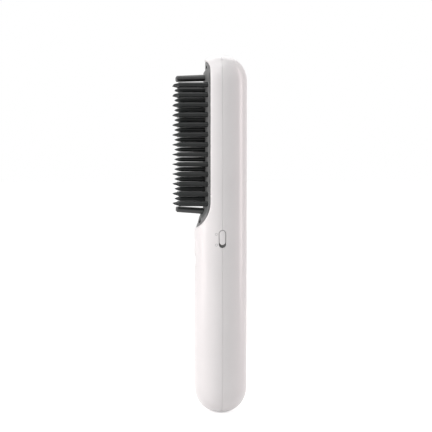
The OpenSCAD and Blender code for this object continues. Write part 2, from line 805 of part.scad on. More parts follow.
module capacitors() color([0.75, 0.65, 0.5]) {
    for (i = [0:3]) on_board(5.4, cell_z + 12 + 3 * i, 1.4, 2, 1);
    for (i = [0:2]) on_board(-5.2, cell_z + 36 + 4 * i, 1.4, 2, 1);
    for (i = [0:2]) on_board(2.4 * (i - 1), cell_z + 54, 1, 1.8, 0.8);
}

module wire_sockets() color([0.9, 0.88, 0.8]) {
    on_board(0, board_top_z - 3.2, 8, 4, 2);
    on_board(0, board_low_z + 8, 6, 4, 2);
}

module tact_switch() color([0.15, 0.15, 0.16]) difference() {
    on_board(0, button_z, tact_w, tact_w, tact_h);
    x_cylinder(-body_r, 0.3 - board_front_x, 0, button_z, tact_r + 0.1);
}

// ---- Push button ----

module tact_plunger() color([0.75, 0.2, 0.2])
    x_cylinder(-tact_top_x, -board_front_x - button_travel - 0.45, 0, button_z, tact_r);

module power_button() color(shell_white) {
    x_cylinder(-button_face_x, -button_flange_x, 0, button_z, button_r);
    x_cylinder(-button_flange_x, -button_flange_x + button_flange_t, 0, button_z, button_flange_r);
    x_cylinder(-button_flange_x, -tact_top_x, 0, button_z, tact_r);
}

// ---- Slide switch ----

module slide_knob() color(knob_white) intersection() {
    capsule(knob_inset);
    side_slot(knob_w, knob_len, knob_rest_z, shutter_out_y, body_d);
}

module slide_shutter() color([0.2, 0.2, 0.2]) {
    box([-shutter_w / 2, -shutter_out_y, knob_rest_z - shutter_len / 2],
        [shutter_w / 2, shutter_t - shutter_out_y, knob_rest_z + shutter_len / 2]);
    for (s = [-1, 1]) {
        z = knob_rest_z + s * (lever_w / 2 + 0.1 + fork_t / 2);
        box([-1.6, -shutter_out_y, z - fork_t / 2], [1.6, -lever_y - 0.4, z + fork_t / 2]);
    }
}

module switch_lever() color([0.1, 0.1, 0.1])
    box([-lever_w / 2, 0.15 + shutter_t - shutter_out_y, knob_rest_z - lever_w / 2],
        [lever_w / 2, 1 - lever_y, knob_rest_z + lever_w / 2]);

module slide_switch() color(steel) difference() {
    box([-2.2, -lever_y, switch_z - 4.6], [2.2, -switch_body_y, switch_z + 4.6]);
    box([-lever_w / 2 - slide_gap, -lever_y - 1, switch_z - (lever_w + switch_travel) / 2 - 0.3],
        [lever_w / 2 + slide_gap, 1.3 - lever_y, switch_z + (lever_w + switch_travel) / 2 + 0.3]);
}

module switch_board() color(board_green)
    box([-3.6, -switch_body_y, switch_z - 7], [4, -switch_board_y, switch_z + 4.7]);

// ---- Charging ----

module charge_socket() color(steel) translate([0, 0, socket_z]) rotate([0, 0, 90])
    linear_extrude(height = socket_len) difference() {
        rotate([0, 0, 90]) stadium(port_h, port_w);
        rotate([0, 0, 90]) stadium(port_h - 2 * socket_wall, port_w - 2 * socket_wall);
    }

module charge_tongue() color([0.15, 0.15, 0.15]) {
    box([-0.35, -port_w / 2 + 1.2, socket_z + 1], [0.35, port_w / 2 - 1.2, socket_z + socket_len]);
    box([0.35 - port_h / 2, -port_w / 2 + 1.6, socket_z + socket_len - 1.4],
        [port_h / 2 - 0.35, port_w / 2 - 1.6, socket_z + socket_len]);
}

module charge_board() color(board_green)
    box([charge_board_x, -charge_board_w / 2, charge_board_low_z],
        [charge_board_x + charge_board_t, charge_board_w / 2, charge_board_top_z]);

module charge_chip() color([0.12, 0.12, 0.13])
    box([charge_board_x - 1, -2, charge_board_top_z - 5], [charge_board_x, 2, charge_board_top_z - 1]);

// ---- Leads, with their points set by hand ----

module battery_leads() {
    color("red") wire([[cell_x - 3, 1.5, cell_top_z + 0.6], [cell_x - 6, 2, cell_top_z + 1.4],
        [-5.5, 2.2, cell_top_z + 3], [-7.2, 2.2, cell_top_z + 6], [0.4 - board_back_x, 2.2, cell_top_z + 6.3]],
        cell_lead_d);
    color("black") wire([[cell_x - 3, -1.5, cell_z - 0.6], [cell_x - 6, -1, cell_z - 1.4],
        [-5.5, -0.5, cell_z - 3], [-7.2, 0, cell_z - 5], [0.4 - board_back_x, 0, cell_z - 5.3]], cell_lead_d);
}

module heater_leads() color([0.7, 0.1, 0.1]) for (s = [-1, 1])
    wire([[-board_front_x - 1, s * 2, board_top_z - 0.4], [-board_front_x - 0.9, s * 2, board_top_z + 0.6],
        [-board_back_x + 0.6, s * 2, board_top_z + 1.7], [0.6, s * 3, frame_low_z - 1.9],
        [2.6, s * 3.8, frame_low_z + 1], [2, s * 3.8, frame_screw_low_z + 4],
        [1.4, s * 3.4, heater_low_z - 4.4], [-1.2, s * 2.8, heater_low_z - 2.8],
        [-heater_lead_x, s * 2.4, heater_low_z - 1.6],
        [-heater_lead_x, s * 2.4, heater_low_z - 0.4]], lead_d);

module sensor_leads() color([0.9, 0.9, 0.85]) {
    wire([[-board_front_x - 1, 0, board_top_z - 0.6], [-board_front_x - 0.7, 0, board_top_z + 0.6],
        [-5, 0, board_top_z + 1.6], [3.4, -1, frame_low_z - 1], [4.8, -3.8, frame_low_z + 1],
        [3.6, -6, frame_low_z + 5], [2, -4, heater_low_z], [2, -1, thermistor_z - 4],
        [thermistor_x + 0.5, 0, thermistor_z - 1.6],
        [thermistor_x, 0, thermistor_z - 0.3]], thin_d);
    wire([[thermistor_x, 0, thermistor_z + 5.3], [thermistor_x + 0.5, 0, thermistor_z + 6.6],
        [2, 0, thermistor_z + 9], [2, 0, fuse_z - 4], [fuse_x + 0.4, 0, fuse_z - 1.6],
        [fuse_x, 0, fuse_z - 0.3]], thin_d);
}

module charge_leads() color("red") for (s = [-1, 1])
    wire([[charge_board_x - 0.45, s * 3, charge_board_top_z - 1], [-1, s * 3, charge_board_top_z + 1],
        [-5, s * 2.6, board_low_z + 0.6], [0.45 - board_back_x, s * 2.6, board_low_z + 1.2]], thin_d);

module switch_leads() color([0.9, 0.9, 0.85]) for (s = [-1, 1])
    wire([[s * 1.2, -switch_board_y - 0.6, switch_z - 7.5],
        [s * 1.2 - 0.4, -switch_board_y - 0.2, switch_z - 8.6],
        [s * 1.2 - 1.6, -4, switch_z - 8.8], [-5.5, -1.2 + s * 1.1, switch_z - 7.6],
        [0.45 - board_back_x, -1.2 + s * 1.1, switch_z - 7]], thin_d);

front_shell();
rear_shell();
comb_cover();
cover_screws();
guard_teeth();
tooth_column(0);  // tooth_column_1
tooth_column(1);  // tooth_column_2
tooth_column(2);  // tooth_column_3
tooth_column(3);  // tooth_column_4
tooth_column(4);  // tooth_column_5
tooth_caps(0);  // tooth_caps_1
tooth_caps(1);  // tooth_caps_2
tooth_caps(2);  // tooth_caps_3
tooth_caps(3);  // tooth_caps_4
tooth_caps(4);  // tooth_caps_5
heat_plate();
heater_element();
mica_sheet();
pressure_plate();
thermistor();
thermal_fuse();
head_frame();
frame_screws();
chassis();
chassis_screws();
battery_cell();
battery_tabs();
main_board();
board_screws();
control_chip();
power_transistors();
inductor();
capacitors();
wire_sockets();
tact_switch();
tact_plunger();
power_button();
slide_knob();
slide_shutter();
slide_switch();
switch_lever();
switch_board();
charge_socket();
charge_tongue();
charge_board();
charge_chip();
battery_leads();
heater_leads();
sensor_leads();
charge_leads();
switch_leads();
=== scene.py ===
import json
import math
import bpy
import numpy as np
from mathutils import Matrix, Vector
from mathutils.geometry import delaunay_2d_cdt


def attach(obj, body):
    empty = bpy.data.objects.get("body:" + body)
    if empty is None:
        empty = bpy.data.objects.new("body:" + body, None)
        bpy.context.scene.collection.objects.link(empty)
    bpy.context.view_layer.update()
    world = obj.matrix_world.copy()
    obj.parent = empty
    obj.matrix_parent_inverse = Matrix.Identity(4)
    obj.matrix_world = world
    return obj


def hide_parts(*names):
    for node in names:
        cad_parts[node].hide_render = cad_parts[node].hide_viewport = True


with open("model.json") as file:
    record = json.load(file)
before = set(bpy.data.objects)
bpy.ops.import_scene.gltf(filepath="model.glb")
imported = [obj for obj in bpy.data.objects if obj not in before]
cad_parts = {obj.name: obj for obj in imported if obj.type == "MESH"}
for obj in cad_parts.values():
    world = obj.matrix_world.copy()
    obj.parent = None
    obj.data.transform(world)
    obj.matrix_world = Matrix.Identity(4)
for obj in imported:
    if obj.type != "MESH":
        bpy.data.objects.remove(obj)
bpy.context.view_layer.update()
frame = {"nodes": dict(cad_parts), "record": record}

# The comb stands on its lower end. Its axis is Z, its teeth point to -X, and the slide switch is at -Y.

# -------------------- sizes, in millimetres as in part.scad
MM = 0.001

# body
R, LENGTH = 16.2, 220.0
DOME, POWER = 17.0, 2.2  # height of a rounded end, and the power of its curve
WALL = 2.0
SEAM, SEAM_SHUT, SEAM_DEPTH = 0.03, 0.002, 0.5  # half gap at the surface, and half gap from a depth on
FILLET_RIM, FILLET_SEAM, FILLET_HOLE = 0.62, 0.1, 0.28

# comb opening: its edge runs RIM_X in front of the axis, and bends forward at both ends
RIM_X, RIM_TOP_Z, RIM_TOP_R, RIM_LOW_R = 7.06, 211.0, 7.0, 20.0
CURVE_Z = 130.52  # below this height the edge and the cover bend forward
SEAT, LIP = 2.45, 1.1  # how far the seat cuts in under the edge, and the edge's thickness
SEAT_PLAY = 0.05

# slide switch, push button and charging port
SWITCH_Z, SLOT_W, SLOT_L = 108.02, 4.4, 10.9
KNOB_W, KNOB_L, KNOB_INSET = 3.8, 8.7, 0.1
KNOB_Z = SWITCH_Z + 0.8  # half the travel above the slot's middle
KNOB_HIGH, KNOB_FILLET = 2.6, 0.3
BUTTON_Z, BUTTON_HOLE_R = 94.32, 4.75
BUTTON_R, BUTTON_FACE_X, BUTTON_CORNER = 4.5, 15.6, 0.35
BUTTON_DISH, DISH_SHARE = 0.22, 0.84  # depth of the dished face, and its share of the width
BUTTON_FLANGE, BUTTON_STEM_R = 1.0, 1.5
BUTTON_STEM_X, BUTTON_BACK_X, BUTTON_STEP_X = 11.8, 12.1, 12.9
PORT_W, PORT_H = 9.3, 3.6
MARK_X, MARK_Z = -3.7, (110.9, 104.4)  # the two rings beside the slide switch
MARK_R, MARK_LINE, MARK_BLUR = 0.8, 0.35, 0.1
NEAR_SIDE_Y = -12.0  # the rings are only on the shell's side beyond this

# teeth, by rows from the top and columns from -Y
ROW_TOP, PITCH, ROWS, COL, COLUMNS = 201.6, 6.04, 13, 4.8, 5
REACH, INNER_DROP = 29.3, 1.1  # the odd columns are shorter and have a row less
TOOTH_ROOT_X, TOOTH_R, TOOTH_ROOT_R, TIP_R = 7.0, 1.4, 1.5, 0.3
CAP_LEN, CAP_BASE_R, CAP_SWELL = 2.8, 0.95, 1.1
INNER_CAP, INNER_SWELL = 4.2, 1.7
STEP_FROM, STEP_LEN = 0.42, 0.4  # the rounded step below a cap
RUB_FROM, RUB_TO = 23.5, 28.5  # the teeth's coating is rubbed between these depths
GUARD_R, GUARD_TAPER, GUARD_CORNER, GUARD_DROP = 1.8, 0.3, 1.0, 1.7
GUARD_GAP = 4.65  # height between a guard tooth and the nearest row
GUARDS = ((ROW_TOP + GUARD_GAP, -2.1), (ROW_TOP - (ROWS - 1) * PITCH - GUARD_GAP, 3.7))  # height, lean

# comb cover: a crowned flange with a raised field
FLANGE_X, FLANGE_CROWN, FLANGE_CURVE = 9.5, 28.0, 22.4
FIELD_X, FIELD_CROWN, FIELD_CURVE, FIELD_HALF = 10.6, 29.1, 17.4, 11.9
FIELD_TOP_Z, FIELD_TOP_SLOPE = 209.1, 1.54
FIELD_END_Z, FIELD_END_SLOPE = CURVE_Z - 8.0, 0.2736
FIELD_END_X = FIELD_X + FIELD_CURVE - math.sqrt(FIELD_CURVE ** 2 - (CURVE_Z - FIELD_END_Z) ** 2)
COVER_T, COVER_INSET, GUARD_PLAY = 1.6, 1.25, 0.05
FIELD_SOFT, FIELD_SIDE, FOOT_SOFT, SKIRT_SOFT = 0.12, (0.12, 0.16), 0.1, 0.35  # softness of its creases
COVER_SCREWS = ((4.8, 211.9, 5.7), (6.2, CURVE_Z - 11.7, 8.3))  # y, z and depth of the post's foot
HOLE_R, SCREW_HOLE_R, SCREW_R, POST_R, FLOOR_T = 1.65, 1.45, 0.8, 2.4, 0.8
# rings of the holes' rounded edges: how much wider and how deep
TOOTH_HOLE_EDGE = ((0.12, 0.0), (0.036, 0.035), (0.0, 0.13))
SCREW_HOLE_EDGE = ((0.16, 0.0), (0.05, 0.05), (0.0, 0.18))
FAR = 99.0  # a depth that nothing reaches

# fineness of the meshes
TOOTH_SIDES, TOOTH_HOLE_SIDES, GUARD_SIDES, GUARD_HOLE_SIDES, SCREW_SIDES, BUTTON_SIDES = 20, 20, 28, 24, 28, 48
END_ROWS = np.arange(4.5, 90, 4.5)  # degrees of the rows of points on a rounded end
FINE_GRID, COARSE_GRID = (4.5, 2.4), (9.0, 6.0)
SKIN_GAPS, SHEET_GAPS = (0.7, 0.5, 1.0), (0.22, 0.2, 0.3)
CDT_EPSILON, TINY = 1e-7, 1e-9

# -------------------- light
AMBIENT = 0.23
# name, turn and rise in degrees from the camera's direction, distance and size in metres, watts, colour
LAMPS = (
    ("key", -48, 28, 1.2, (0.7, 0.9), 4.1),
    ("left_strip", -80, 8, 0.8, (0.4, 1.0), 4.1, (1.0, 0.9, 0.9)),
    ("right_strip", 100, 5, 0.8, (0.2, 1.0), 3.7, (1.0, 0.87, 0.88)),
    ("top", -10, 75, 0.9, (0.5, 0.5), 2.1),
    ("patch", -13, 44, 1.2, (0.2, 0.26), 1.0),
    ("back", 180, 50, 1.2, (0.8, 0.8), 3.2),
)


# -------------------- the body's surface
def radius_at(z, inset=0.0):
    """Radius of the body's surface, moved in by inset, at the height z."""
    r, h = R - inset, DOME - inset
    k = 0.0
    if z < DOME:
        k = (DOME - z) / h
    elif z > LENGTH - DOME:
        k = (z - LENGTH + DOME) / h
    if k >= 1.0:
        return 0.0
    return r * (1.0 - k ** POWER) ** (1.0 / POWER)


def height_at(r, inset, top):
    """Height of the rounded end where its radius is r."""
    rr, h = R - inset, DOME - inset
    k = max(0.0, 1.0 - min(1.0, r / rr) ** POWER) ** (1.0 / POWER) * h
    return LENGTH - DOME + k if top else DOME - k


def unit(v):
    return v / np.linalg.norm(v)


def normal_at(p):
    """Outward normal of the body's surface at a point on or just under it."""
    x, y, z = p
    r = math.hypot(x, y)
    if DOME <= z <= LENGTH - DOME:
        return np.array([x / max(r, TINY), y / max(r, TINY), 0.0])
    k = (z - LENGTH + DOME) / DOME if z > DOME else (z - DOME) / DOME
    g = min(1.0, r / R) ** (POWER - 1.0) / R
    return unit(np.array([x / max(r, TINY) * g, y / max(r, TINY) * g,
                          math.copysign(min(1.0, abs(k)) ** (POWER - 1.0) / DOME, k)]))


END_ARC = 25.0  # length of a rounded end in the chart


def to_chart(p, front, inset=0.0):
    """Unrolls a point of one half of the body, moved in by inset, to a flat chart."""
    x, y, z = p
    phi = math.atan2(y, -x) if front else math.atan2(-y, x)
    t, q = 1.0, END_ARC + z - DOME
    if z < DOME or z > LENGTH - DOME:
        high = (DOME - z if z < DOME else z - LENGTH + DOME) / (DOME - inset)
        t = math.acos(min(1.0, high) ** (POWER / 2.0)) / (math.pi / 2)
        q = t * END_ARC if z < DOME else END_ARC + LENGTH - 2 * DOME + (1.0 - t) * END_ARC
    return R * phi * t, q


def surface_point(phi, z, front):
    """Point of one half's surface at the angle phi from the middle of that half."""
    r = radius_at(z)
    return np.array([-r * math.cos(phi) if front else r * math.cos(phi), -r * math.sin(phi), z])


# -------------------- mesh building
class Solid:
    """Collects faces with a normal for each corner, and merges equal corners."""

    def __init__(self):
        self.index, self.verts, self.faces, self.normals = {}, [], [], []

    def vertex(self, p):
        key = (round(p[0], 4), round(p[1], 4), round(p[2], 4))
        if key not in self.index:
            self.index[key] = len(self.verts)
            self.verts.append((p[0] * MM, p[1] * MM, p[2] * MM))
        return self.index[key]

    @staticmethod
    def turn(corners, normals):
        """Above 0 where the corners run anticlockwise, seen from where the normals point."""
        a = np.array(corners, float) - np.array(corners[0], float)
        return np.dot(np.cross(a[1:-1], a[2:]).sum(axis=0), np.array(normals, float).sum(axis=0))

    def face(self, corners, normals, turn=None):
        """Adds a face that looks where its normals point, unless it has shrunk to a line or a point."""
        ids = [self.vertex(p) for p in corners]
        keep = [i for i in range(len(ids)) if ids[i] != ids[i - 1]]
        if len(keep) < 3 or len({ids[i] for i in keep}) < 3:
            return
        if (self.turn(corners, normals) if turn is None else turn) < 0:
            keep = keep[::-1]
        self.faces.append([ids[i] for i in keep])
        self.normals.extend([tuple(normals[i]) for i in keep])

    def strip(self, a, b, na, nb):
        """A closed band between two equally long loops. All its faces are wound the same way."""
        quads = []
        for i in range(len(a)):
            j = (i + 1) % len(a)
            quads.append(([a[i], a[j], b[j], b[i]], [na[i], na[j], nb[j], nb[i]]))
        turn = sum(self.turn(*quad) for quad in quads)
        for corners, normals in quads:
            self.face(corners, normals, turn)

    def make(self, name, body, nodes, finish):
        mesh = bpy.data.meshes.new(name)
        mesh.from_pydata(self.verts, [], self.faces)
        for poly in mesh.polygons:
            poly.use_smooth = True
        mesh.normals_split_custom_set(self.normals)
        mesh.update()
        mesh.materials.append(finish)
        obj = bpy.data.objects.new(name, mesh)
        bpy.context.collection.objects.link(obj)
        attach(obj, body)
        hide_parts(*nodes)


def inside(points, polygon):
    """For each point, whether it is inside the polygon."""
    x, y = points[:, 0][:, None], points[:, 1][:, None]
    ax, ay = polygon[:, 0][None], polygon[:, 1][None]
    bx, by = np.roll(polygon[:, 0], -1)[None], np.roll(polygon[:, 1], -1)[None]
    crossing = (ay > y) != (by > y)
    with np.errstate(divide="ignore", invalid="ignore"):
        at = ax + (y - ay) / (by - ay) * (bx - ax)
    return (np.sum(crossing & (x < at), axis=1) % 2) == 1


def inside_region(points, polygons):
    """For each point, whether it is inside the first polygon and outside the others."""
    result = inside(points, polygons[0])
    for hole in polygons[1:]:
        result &= ~inside(points, hole)
    return result


def fill(loops, grid, gaps):
    """Triangles of a flat outline with holes. They stand on the loops' points, and on the grid's points that
    stay clear of those. gaps gives the distance from points, the distance from long pieces of a loop, and the
    square of the length from which a piece is long.
    Returns which grid points are kept, and the numbers of the triangles' corners."""
    gap, side_gap, long_square = gaps
    flat, edges, polygons = [], [], []
    for loop in loops:
        start, n = len(flat), len(loop)
        flat += [tuple(p) for p in loop]
        edges += [(start + i, start + (i + 1) % n) for i in range(n)]
        polygons.append(np.array(loop, np.float32).astype(float))  # as the triangulation holds them
    border = np.concatenate(polygons)
    keep = inside_region(grid, polygons)
    away = np.hypot(grid[:, :1] - border[None, :, 0], grid[:, 1:] - border[None, :, 1])
    keep &= np.min(away, axis=1) > gap
    for i, j in edges:
        a, ab = border[i], border[j] - border[i]
        square = np.dot(ab, ab)
        if square > long_square:
            t = np.clip(((grid - a) @ ab) / square, 0, 1)
            keep &= np.linalg.norm(grid - (a + t[:, None] * ab), axis=1) > side_gap
    flat += [tuple(p) for p in grid[keep]]
    result = delaunay_2d_cdt([Vector(p) for p in flat], edges, [], 0, CDT_EPSILON, True)
    verts, faces, origins = result[0], result[2], result[3]
    centres = np.array([[sum(verts[i][k] for i in f) / len(f) for k in (0, 1)] for f in faces])
    good = inside_region(centres, polygons)
    triangles = [f for f, ok in zip(faces, good) if ok and all(origins[i] for i in f)]
    return keep, [[origins[i][0] for i in f] for f in triangles]


def moved_in(p, inset):
    """A point of the body's surface, taken to the surface that lies inset under it."""
    base = min(max(p[2], DOME), LENGTH - DOME)
    narrow = (R - inset) / R
    return np.array([p[0] * narrow, p[1] * narrow, base + (p[2] - base) * (DOME - inset) / DOME])


def skin(solid, outer, holes, inset, front, flip=False, grid=FINE_GRID):
    """Fills one half of the body's surface between an outer loop and its holes. grid is the spacing of the
    points in degrees round the body and in mm along it."""
    step, rise = grid
    low = sorted(height_at(R * math.sin(math.radians(a)) ** (2 / POWER), 0, False) for a in END_ROWS)
    rows = low + list(np.arange(DOME, LENGTH - DOME + 0.01, rise)) + [LENGTH - h for h in low[::-1]]
    extra = []
    for z in rows:
        count = max(3, int(round(180.0 / step * radius_at(z) / R)))
        extra += [surface_point(-math.pi / 2 + math.pi * k / count, z, front) for k in range(1, count)]
    loops = [outer] + holes
    charts = [[to_chart(p, front, inset) for p in loop] for loop in loops]
    keep, triangles = fill(charts, np.array([to_chart(p, front) for p in extra]), SKIN_GAPS)
    points = [np.array(p, float) for loop in loops for p in loop]
    points += [moved_in(p, inset) if inset else p for p, ok in zip(extra, keep) if ok]
    normals = [(-1.0 if flip else 1.0) * normal_at(p) for p in points]
    for corners in triangles:
        solid.face([points[k] for k in corners], [normals[k] for k in corners])


# -------------------- outlines on the surface
def last_holding(test, good, bad, steps):
    """The last value from good towards bad for which the test holds, by halving."""
    for _ in range(steps):
        middle = (good + bad) / 2
        if test(middle):
            good = middle
        else:
            bad = middle
    return good


def seam_loop(grow, inset, front):
    """The parting line round one half, with its share of the slot and of the charging port.
    grow moves it into the half's material, inset moves it in under the surface."""
    s = -1.0 if front else 1.0
    c = SEAM + grow
    rr = R - inset
    port_r, port_end = PORT_H / 2 + grow, PORT_W / 2 - PORT_H / 2
    slot_r, slot_end = SLOT_W / 2 + grow, SLOT_L / 2 - SLOT_W / 2
    port_corner = math.hypot(c, port_end + math.sqrt(max(0.0, port_r ** 2 - c ** 2)))
    slot_corner = math.sqrt(slot_r ** 2 - c ** 2)
    across = (-s, 0, 0)
    points, normals = [], []

    def put(x, y, z, n):
        points.append(np.array((x, y, z), float))
        normals.append(np.array(n, float))

    def end_radii(r_from, r_to, count):
        """Radii along a rounded end, evenly spread over its curve."""
        a, b = (math.asin(min(1, r / rr) ** (POWER / 2)) for r in (r_from, r_to))
        return [rr * math.sin(t) ** (2 / POWER) for t in np.linspace(a, b, count)]

    def end_point(r, side, top):
        put(s * c, side * math.sqrt(max(0.0, r * r - c * c)), height_at(r, inset, top), across)

    def side_point(z, side):
        put(s * c, side * math.sqrt(rr * rr - c * c), z, across)

    def slot_point(x, z, n):
        put(x, -math.sqrt(rr * rr - x * x), z, n)

    def slot_bend(turns, end):
        for a in turns:
            slot_point(s * slot_r * math.sin(a), SWITCH_Z + end * slot_end + end * slot_r * math.cos(a),
                       (-s * math.sin(a), 0, -end * math.cos(a)))

    def port_point(x, y, n):
        put(x, y, height_at(math.hypot(x, y), inset, False), n)

    def port_bend(turns, end):
        for a in turns:
            port_point(s * port_r * math.cos(a), end * port_end + end * port_r * math.sin(a),
                       (-s * math.cos(a), -end * math.sin(a), 0))

    # up the +Y side, from the port over the top
    for r in end_radii(port_corner, rr, 18)[:-1]:
        end_point(r, 1, False)
    for z in np.linspace(DOME, LENGTH - DOME, 80):
        side_point(z, 1)
    for r in end_radii(rr, c, 22)[1:]:
        end_point(r, 1, True)
    # down the -Y side, round the slot
    for r in end_radii(c, rr, 22)[1:-1]:
        end_point(r, -1, True)
    for z in np.linspace(LENGTH - DOME, SWITCH_Z + slot_end + slot_corner, 40)[:-1]:
        side_point(z, -1)
    start = math.asin(c / slot_r)
    slot_bend(np.linspace(start, math.pi / 2, 14), 1)
    for z in np.linspace(SWITCH_Z + slot_end, SWITCH_Z - slot_end, 10)[1:-1]:
        slot_point(s * slot_r, z, across)
    slot_bend(np.linspace(math.pi / 2, start, 14), -1)
    for z in np.linspace(SWITCH_Z - slot_end - slot_corner, DOME, 40)[1:]:
        side_point(z, -1)
    for r in end_radii(rr, port_corner, 18)[1:-1]:
        end_point(r, -1, False)
    # round the port, back to the +Y side
    start = math.acos(min(1.0, c / port_r))
    port_bend(np.linspace(start, 0.0, 10), -1)
    for y in np.linspace(-port_end, port_end, 10)[1:-1]:
        port_point(s * port_r, y, across)
    port_bend(np.linspace(0.0, start, 10)[:-1], 1)
    return points, normals


def rim_profile(grow, kind, t):
    """Point (x, z) and normal of the comb opening's side profile. kind is low, line or top."""
    if kind == "line":
        return -RIM_X + grow, CURVE_Z + (RIM_TOP_Z - CURVE_Z) * t, (-1.0, 0.0)
    if kind == "low":
        cx, cz, r = -RIM_X - RIM_LOW_R, CURVE_Z, RIM_LOW_R + grow
        return cx + r * math.cos(t), cz - r * math.sin(t), (-math.cos(t), math.sin(t))
    cx, cz, r = -RIM_X - RIM_TOP_R, RIM_TOP_Z, RIM_TOP_R + grow
    return cx + r * math.cos(t), cz + r * math.sin(t), (-math.cos(t), -math.sin(t))


def lengths(points):
    """Distance along a row of points, at each of them."""
    return np.concatenate([[0.0], np.cumsum(np.linalg.norm(np.diff(points, axis=0), axis=1))])


def read_at(at, d, rows):
    """Reads rows, which are known at the distances d, at other distances."""
    return np.stack([np.interp(at, d, column) for column in rows.T], axis=1)


def resample(points, normals, count):
    """Spreads a row of points and their normals evenly over its length."""
    d = lengths(points)
    at = np.linspace(0, d[-1], count)
    new_n = read_at(at, d, np.array(normals))
    return read_at(at, d, np.array(points)), new_n / np.linalg.norm(new_n, axis=1)[:, None]


def rim_loop(grow, inset, counts=(46, 60, 22)):
    """The comb opening's edge, all the way round. counts gives the points of its bends and its straight."""
    def curve(kind, ts):
        pts, nor = [], []
        for t in ts:
            x, z, n = rim_profile(grow, kind, t)
            y2 = radius_at(z, inset) ** 2 - x * x
            pts.append((x, math.sqrt(max(0.0, y2)), z))
            nor.append((n[0], 0.0, n[1]))
        return pts, nor

    def last(kind):
        """Where the profile leaves the body's surface at the front."""
        def on_body(t):
            x, z, _ = rim_profile(grow, kind, t)
            return radius_at(z, inset) > -x
        return last_holding(on_body, 0.0, math.pi / 2, 60)

    low_end, top_end = last("low"), last("top")
    ease = 1.0 - np.linspace(1, 0, 400) ** 2
    low, low_n = curve("low", low_end * ease)
    low, low_n = resample(low[::-1], low_n[::-1], counts[0])
    line, line_n = resample(*curve("line", np.linspace(0, 1, 20)), counts[1])
    top, top_n = resample(*curve("top", top_end * ease), counts[2])
    side = np.concatenate([low, line[1:-1], top])
    side_n = np.concatenate([low_n, line_n[1:-1], top_n])
    side[0][1] = side[-1][1] = 0.0
    other, other_n = side[-2:0:-1].copy(), side_n[-2:0:-1].copy()
    other[:, 1] *= -1
    return list(np.concatenate([side, other])), list(np.concatenate([side_n, other_n]))


def button_loop(grow, inset, count=56):
    """The round hole of the push button at the front."""
    pts, nor = [], []
    r = BUTTON_HOLE_R + grow
    for k in range(count):
        a = 2 * math.pi * k / count
        y, z = r * math.cos(a), BUTTON_Z + r * math.sin(a)
        pts.append(np.array([-math.sqrt((R - inset) ** 2 - y * y), y, z]))
        nor.append(np.array([0.0, -math.cos(a), -math.sin(a)]))
    return pts, nor


def edge_strips(solid, loop, fillet, rows, depths):
    """Rounds the edge of a loop and takes its wall down through depths, a list of (grow, inset).
    Returns the loop on the surface and the last one."""
    first, _ = loop(fillet, 0.0)
    sharp, _ = loop(0.0, 0.0)
    last, last_n = loop(0.0, fillet)
    first_n = [normal_at(p) for p in first]
    before, before_n = first, first_n
    for k in range(1, rows + 1):
        w = k / rows
        now = [(1 - w) ** 2 * np.array(p) + 2 * w * (1 - w) * np.array(q) + w * w * np.array(r)
               for p, q, r in zip(first, sharp, last)]
        now_n = [unit((1 - w) * u + w * np.array(v)) for u, v in zip(first_n, last_n)]
        solid.strip(before, now, before_n, now_n)
        before, before_n = now, now_n
    last_grow, last_inset = 0.0, fillet
    for grow, inset in depths:
        now, now_n = loop(grow, inset)
        if inset == last_inset:
            # a ledge along the surface, which looks inward where it cuts under the wall
            side = -1.0 if grow > last_grow else 1.0
            solid.strip(before, now, [side * normal_at(p) for p in before], [side * normal_at(p) for p in now])
        else:
            solid.strip(before, now, now_n, now_n)
        before, last_grow, last_inset = now, grow, inset
    return first, before


# -------------------- materials
def material(name, build, *args, **options):
    """A material whose nodes build() adds."""
    m = bpy.data.materials.new(name)
    m.use_nodes = True
    nt = m.node_tree
    build(nt, nt.nodes["Principled BSDF"], *args, **options)
    return m


def add(nt, kind, links=None, **sockets):
    """Adds a node. links maps an input to another node's output, and sockets gives plain values."""
    n = nt.nodes.new(kind)
    for k, v in sockets.items():
        if hasattr(n, k):
            setattr(n, k, v)
        else:
            n.inputs[k.replace("_", " ")].default_value = v
    for k, out in (links or {}).items():
        nt.links.new(out, n.inputs[k])
    return n


def calc(nt, operation, a, b=0.0):
    """Result of a Math node on an output and a number or another output."""
    n = add(nt, "ShaderNodeMath", {0: a}, operation=operation)
    if isinstance(b, float):
        n.inputs[1].default_value = b
    else:
        nt.links.new(b, n.inputs[1])
    return n.outputs[0]


def coords(nt, stretch=(1, 1, 1)):
    """Place on the piece in metres, stretched for a texture."""
    c = add(nt, "ShaderNodeTexCoord")
    m = add(nt, "ShaderNodeMapping", {"Vector": c.outputs["Object"]}, Scale=stretch)
    return m.outputs["Vector"]


def noise(nt, scale, detail=2.0, stretch=(1, 1, 1)):
    vector = {"Vector": coords(nt, stretch)}
    return add(nt, "ShaderNodeTexNoise", vector, Scale=scale, Detail=detail, Roughness=0.5).outputs["Fac"]


def span(nt, value, low, high, to_low, to_high):
    """Maps low to to_low and high to to_high, and goes no further."""
    n = add(nt, "ShaderNodeMapRange", {"Value": value})
    for k, v in (("From Min", low), ("From Max", high), ("To Min", to_low), ("To Max", to_high)):
        n.inputs[k].default_value = v
    return n.outputs["Result"]


def patches(nt, scale, detail=3.0, low=0.35, high=0.65):
    """Soft patches from 0 to 1. They are smaller where scale is greater."""
    return span(nt, noise(nt, scale, detail), low, high, 0.0, 1.0)


def spread(nt, grain, low, high):
    """Takes a noise's usual range to the range from low to high."""
    return span(nt, grain, 0.3, 0.7, low, high)


def distance_to(nt, u, v, centre):
    """Distance of the outputs u and v from a place of two numbers in millimetres."""
    du, dv = calc(nt, "ADD", u, -centre[0] * MM), calc(nt, "ADD", v, -centre[1] * MM)
    pair = add(nt, "ShaderNodeCombineXYZ", {"X": du, "Y": dv}).outputs[0]
    return add(nt, "ShaderNodeVectorMath", {0: pair}, operation="LENGTH").outputs["Value"]


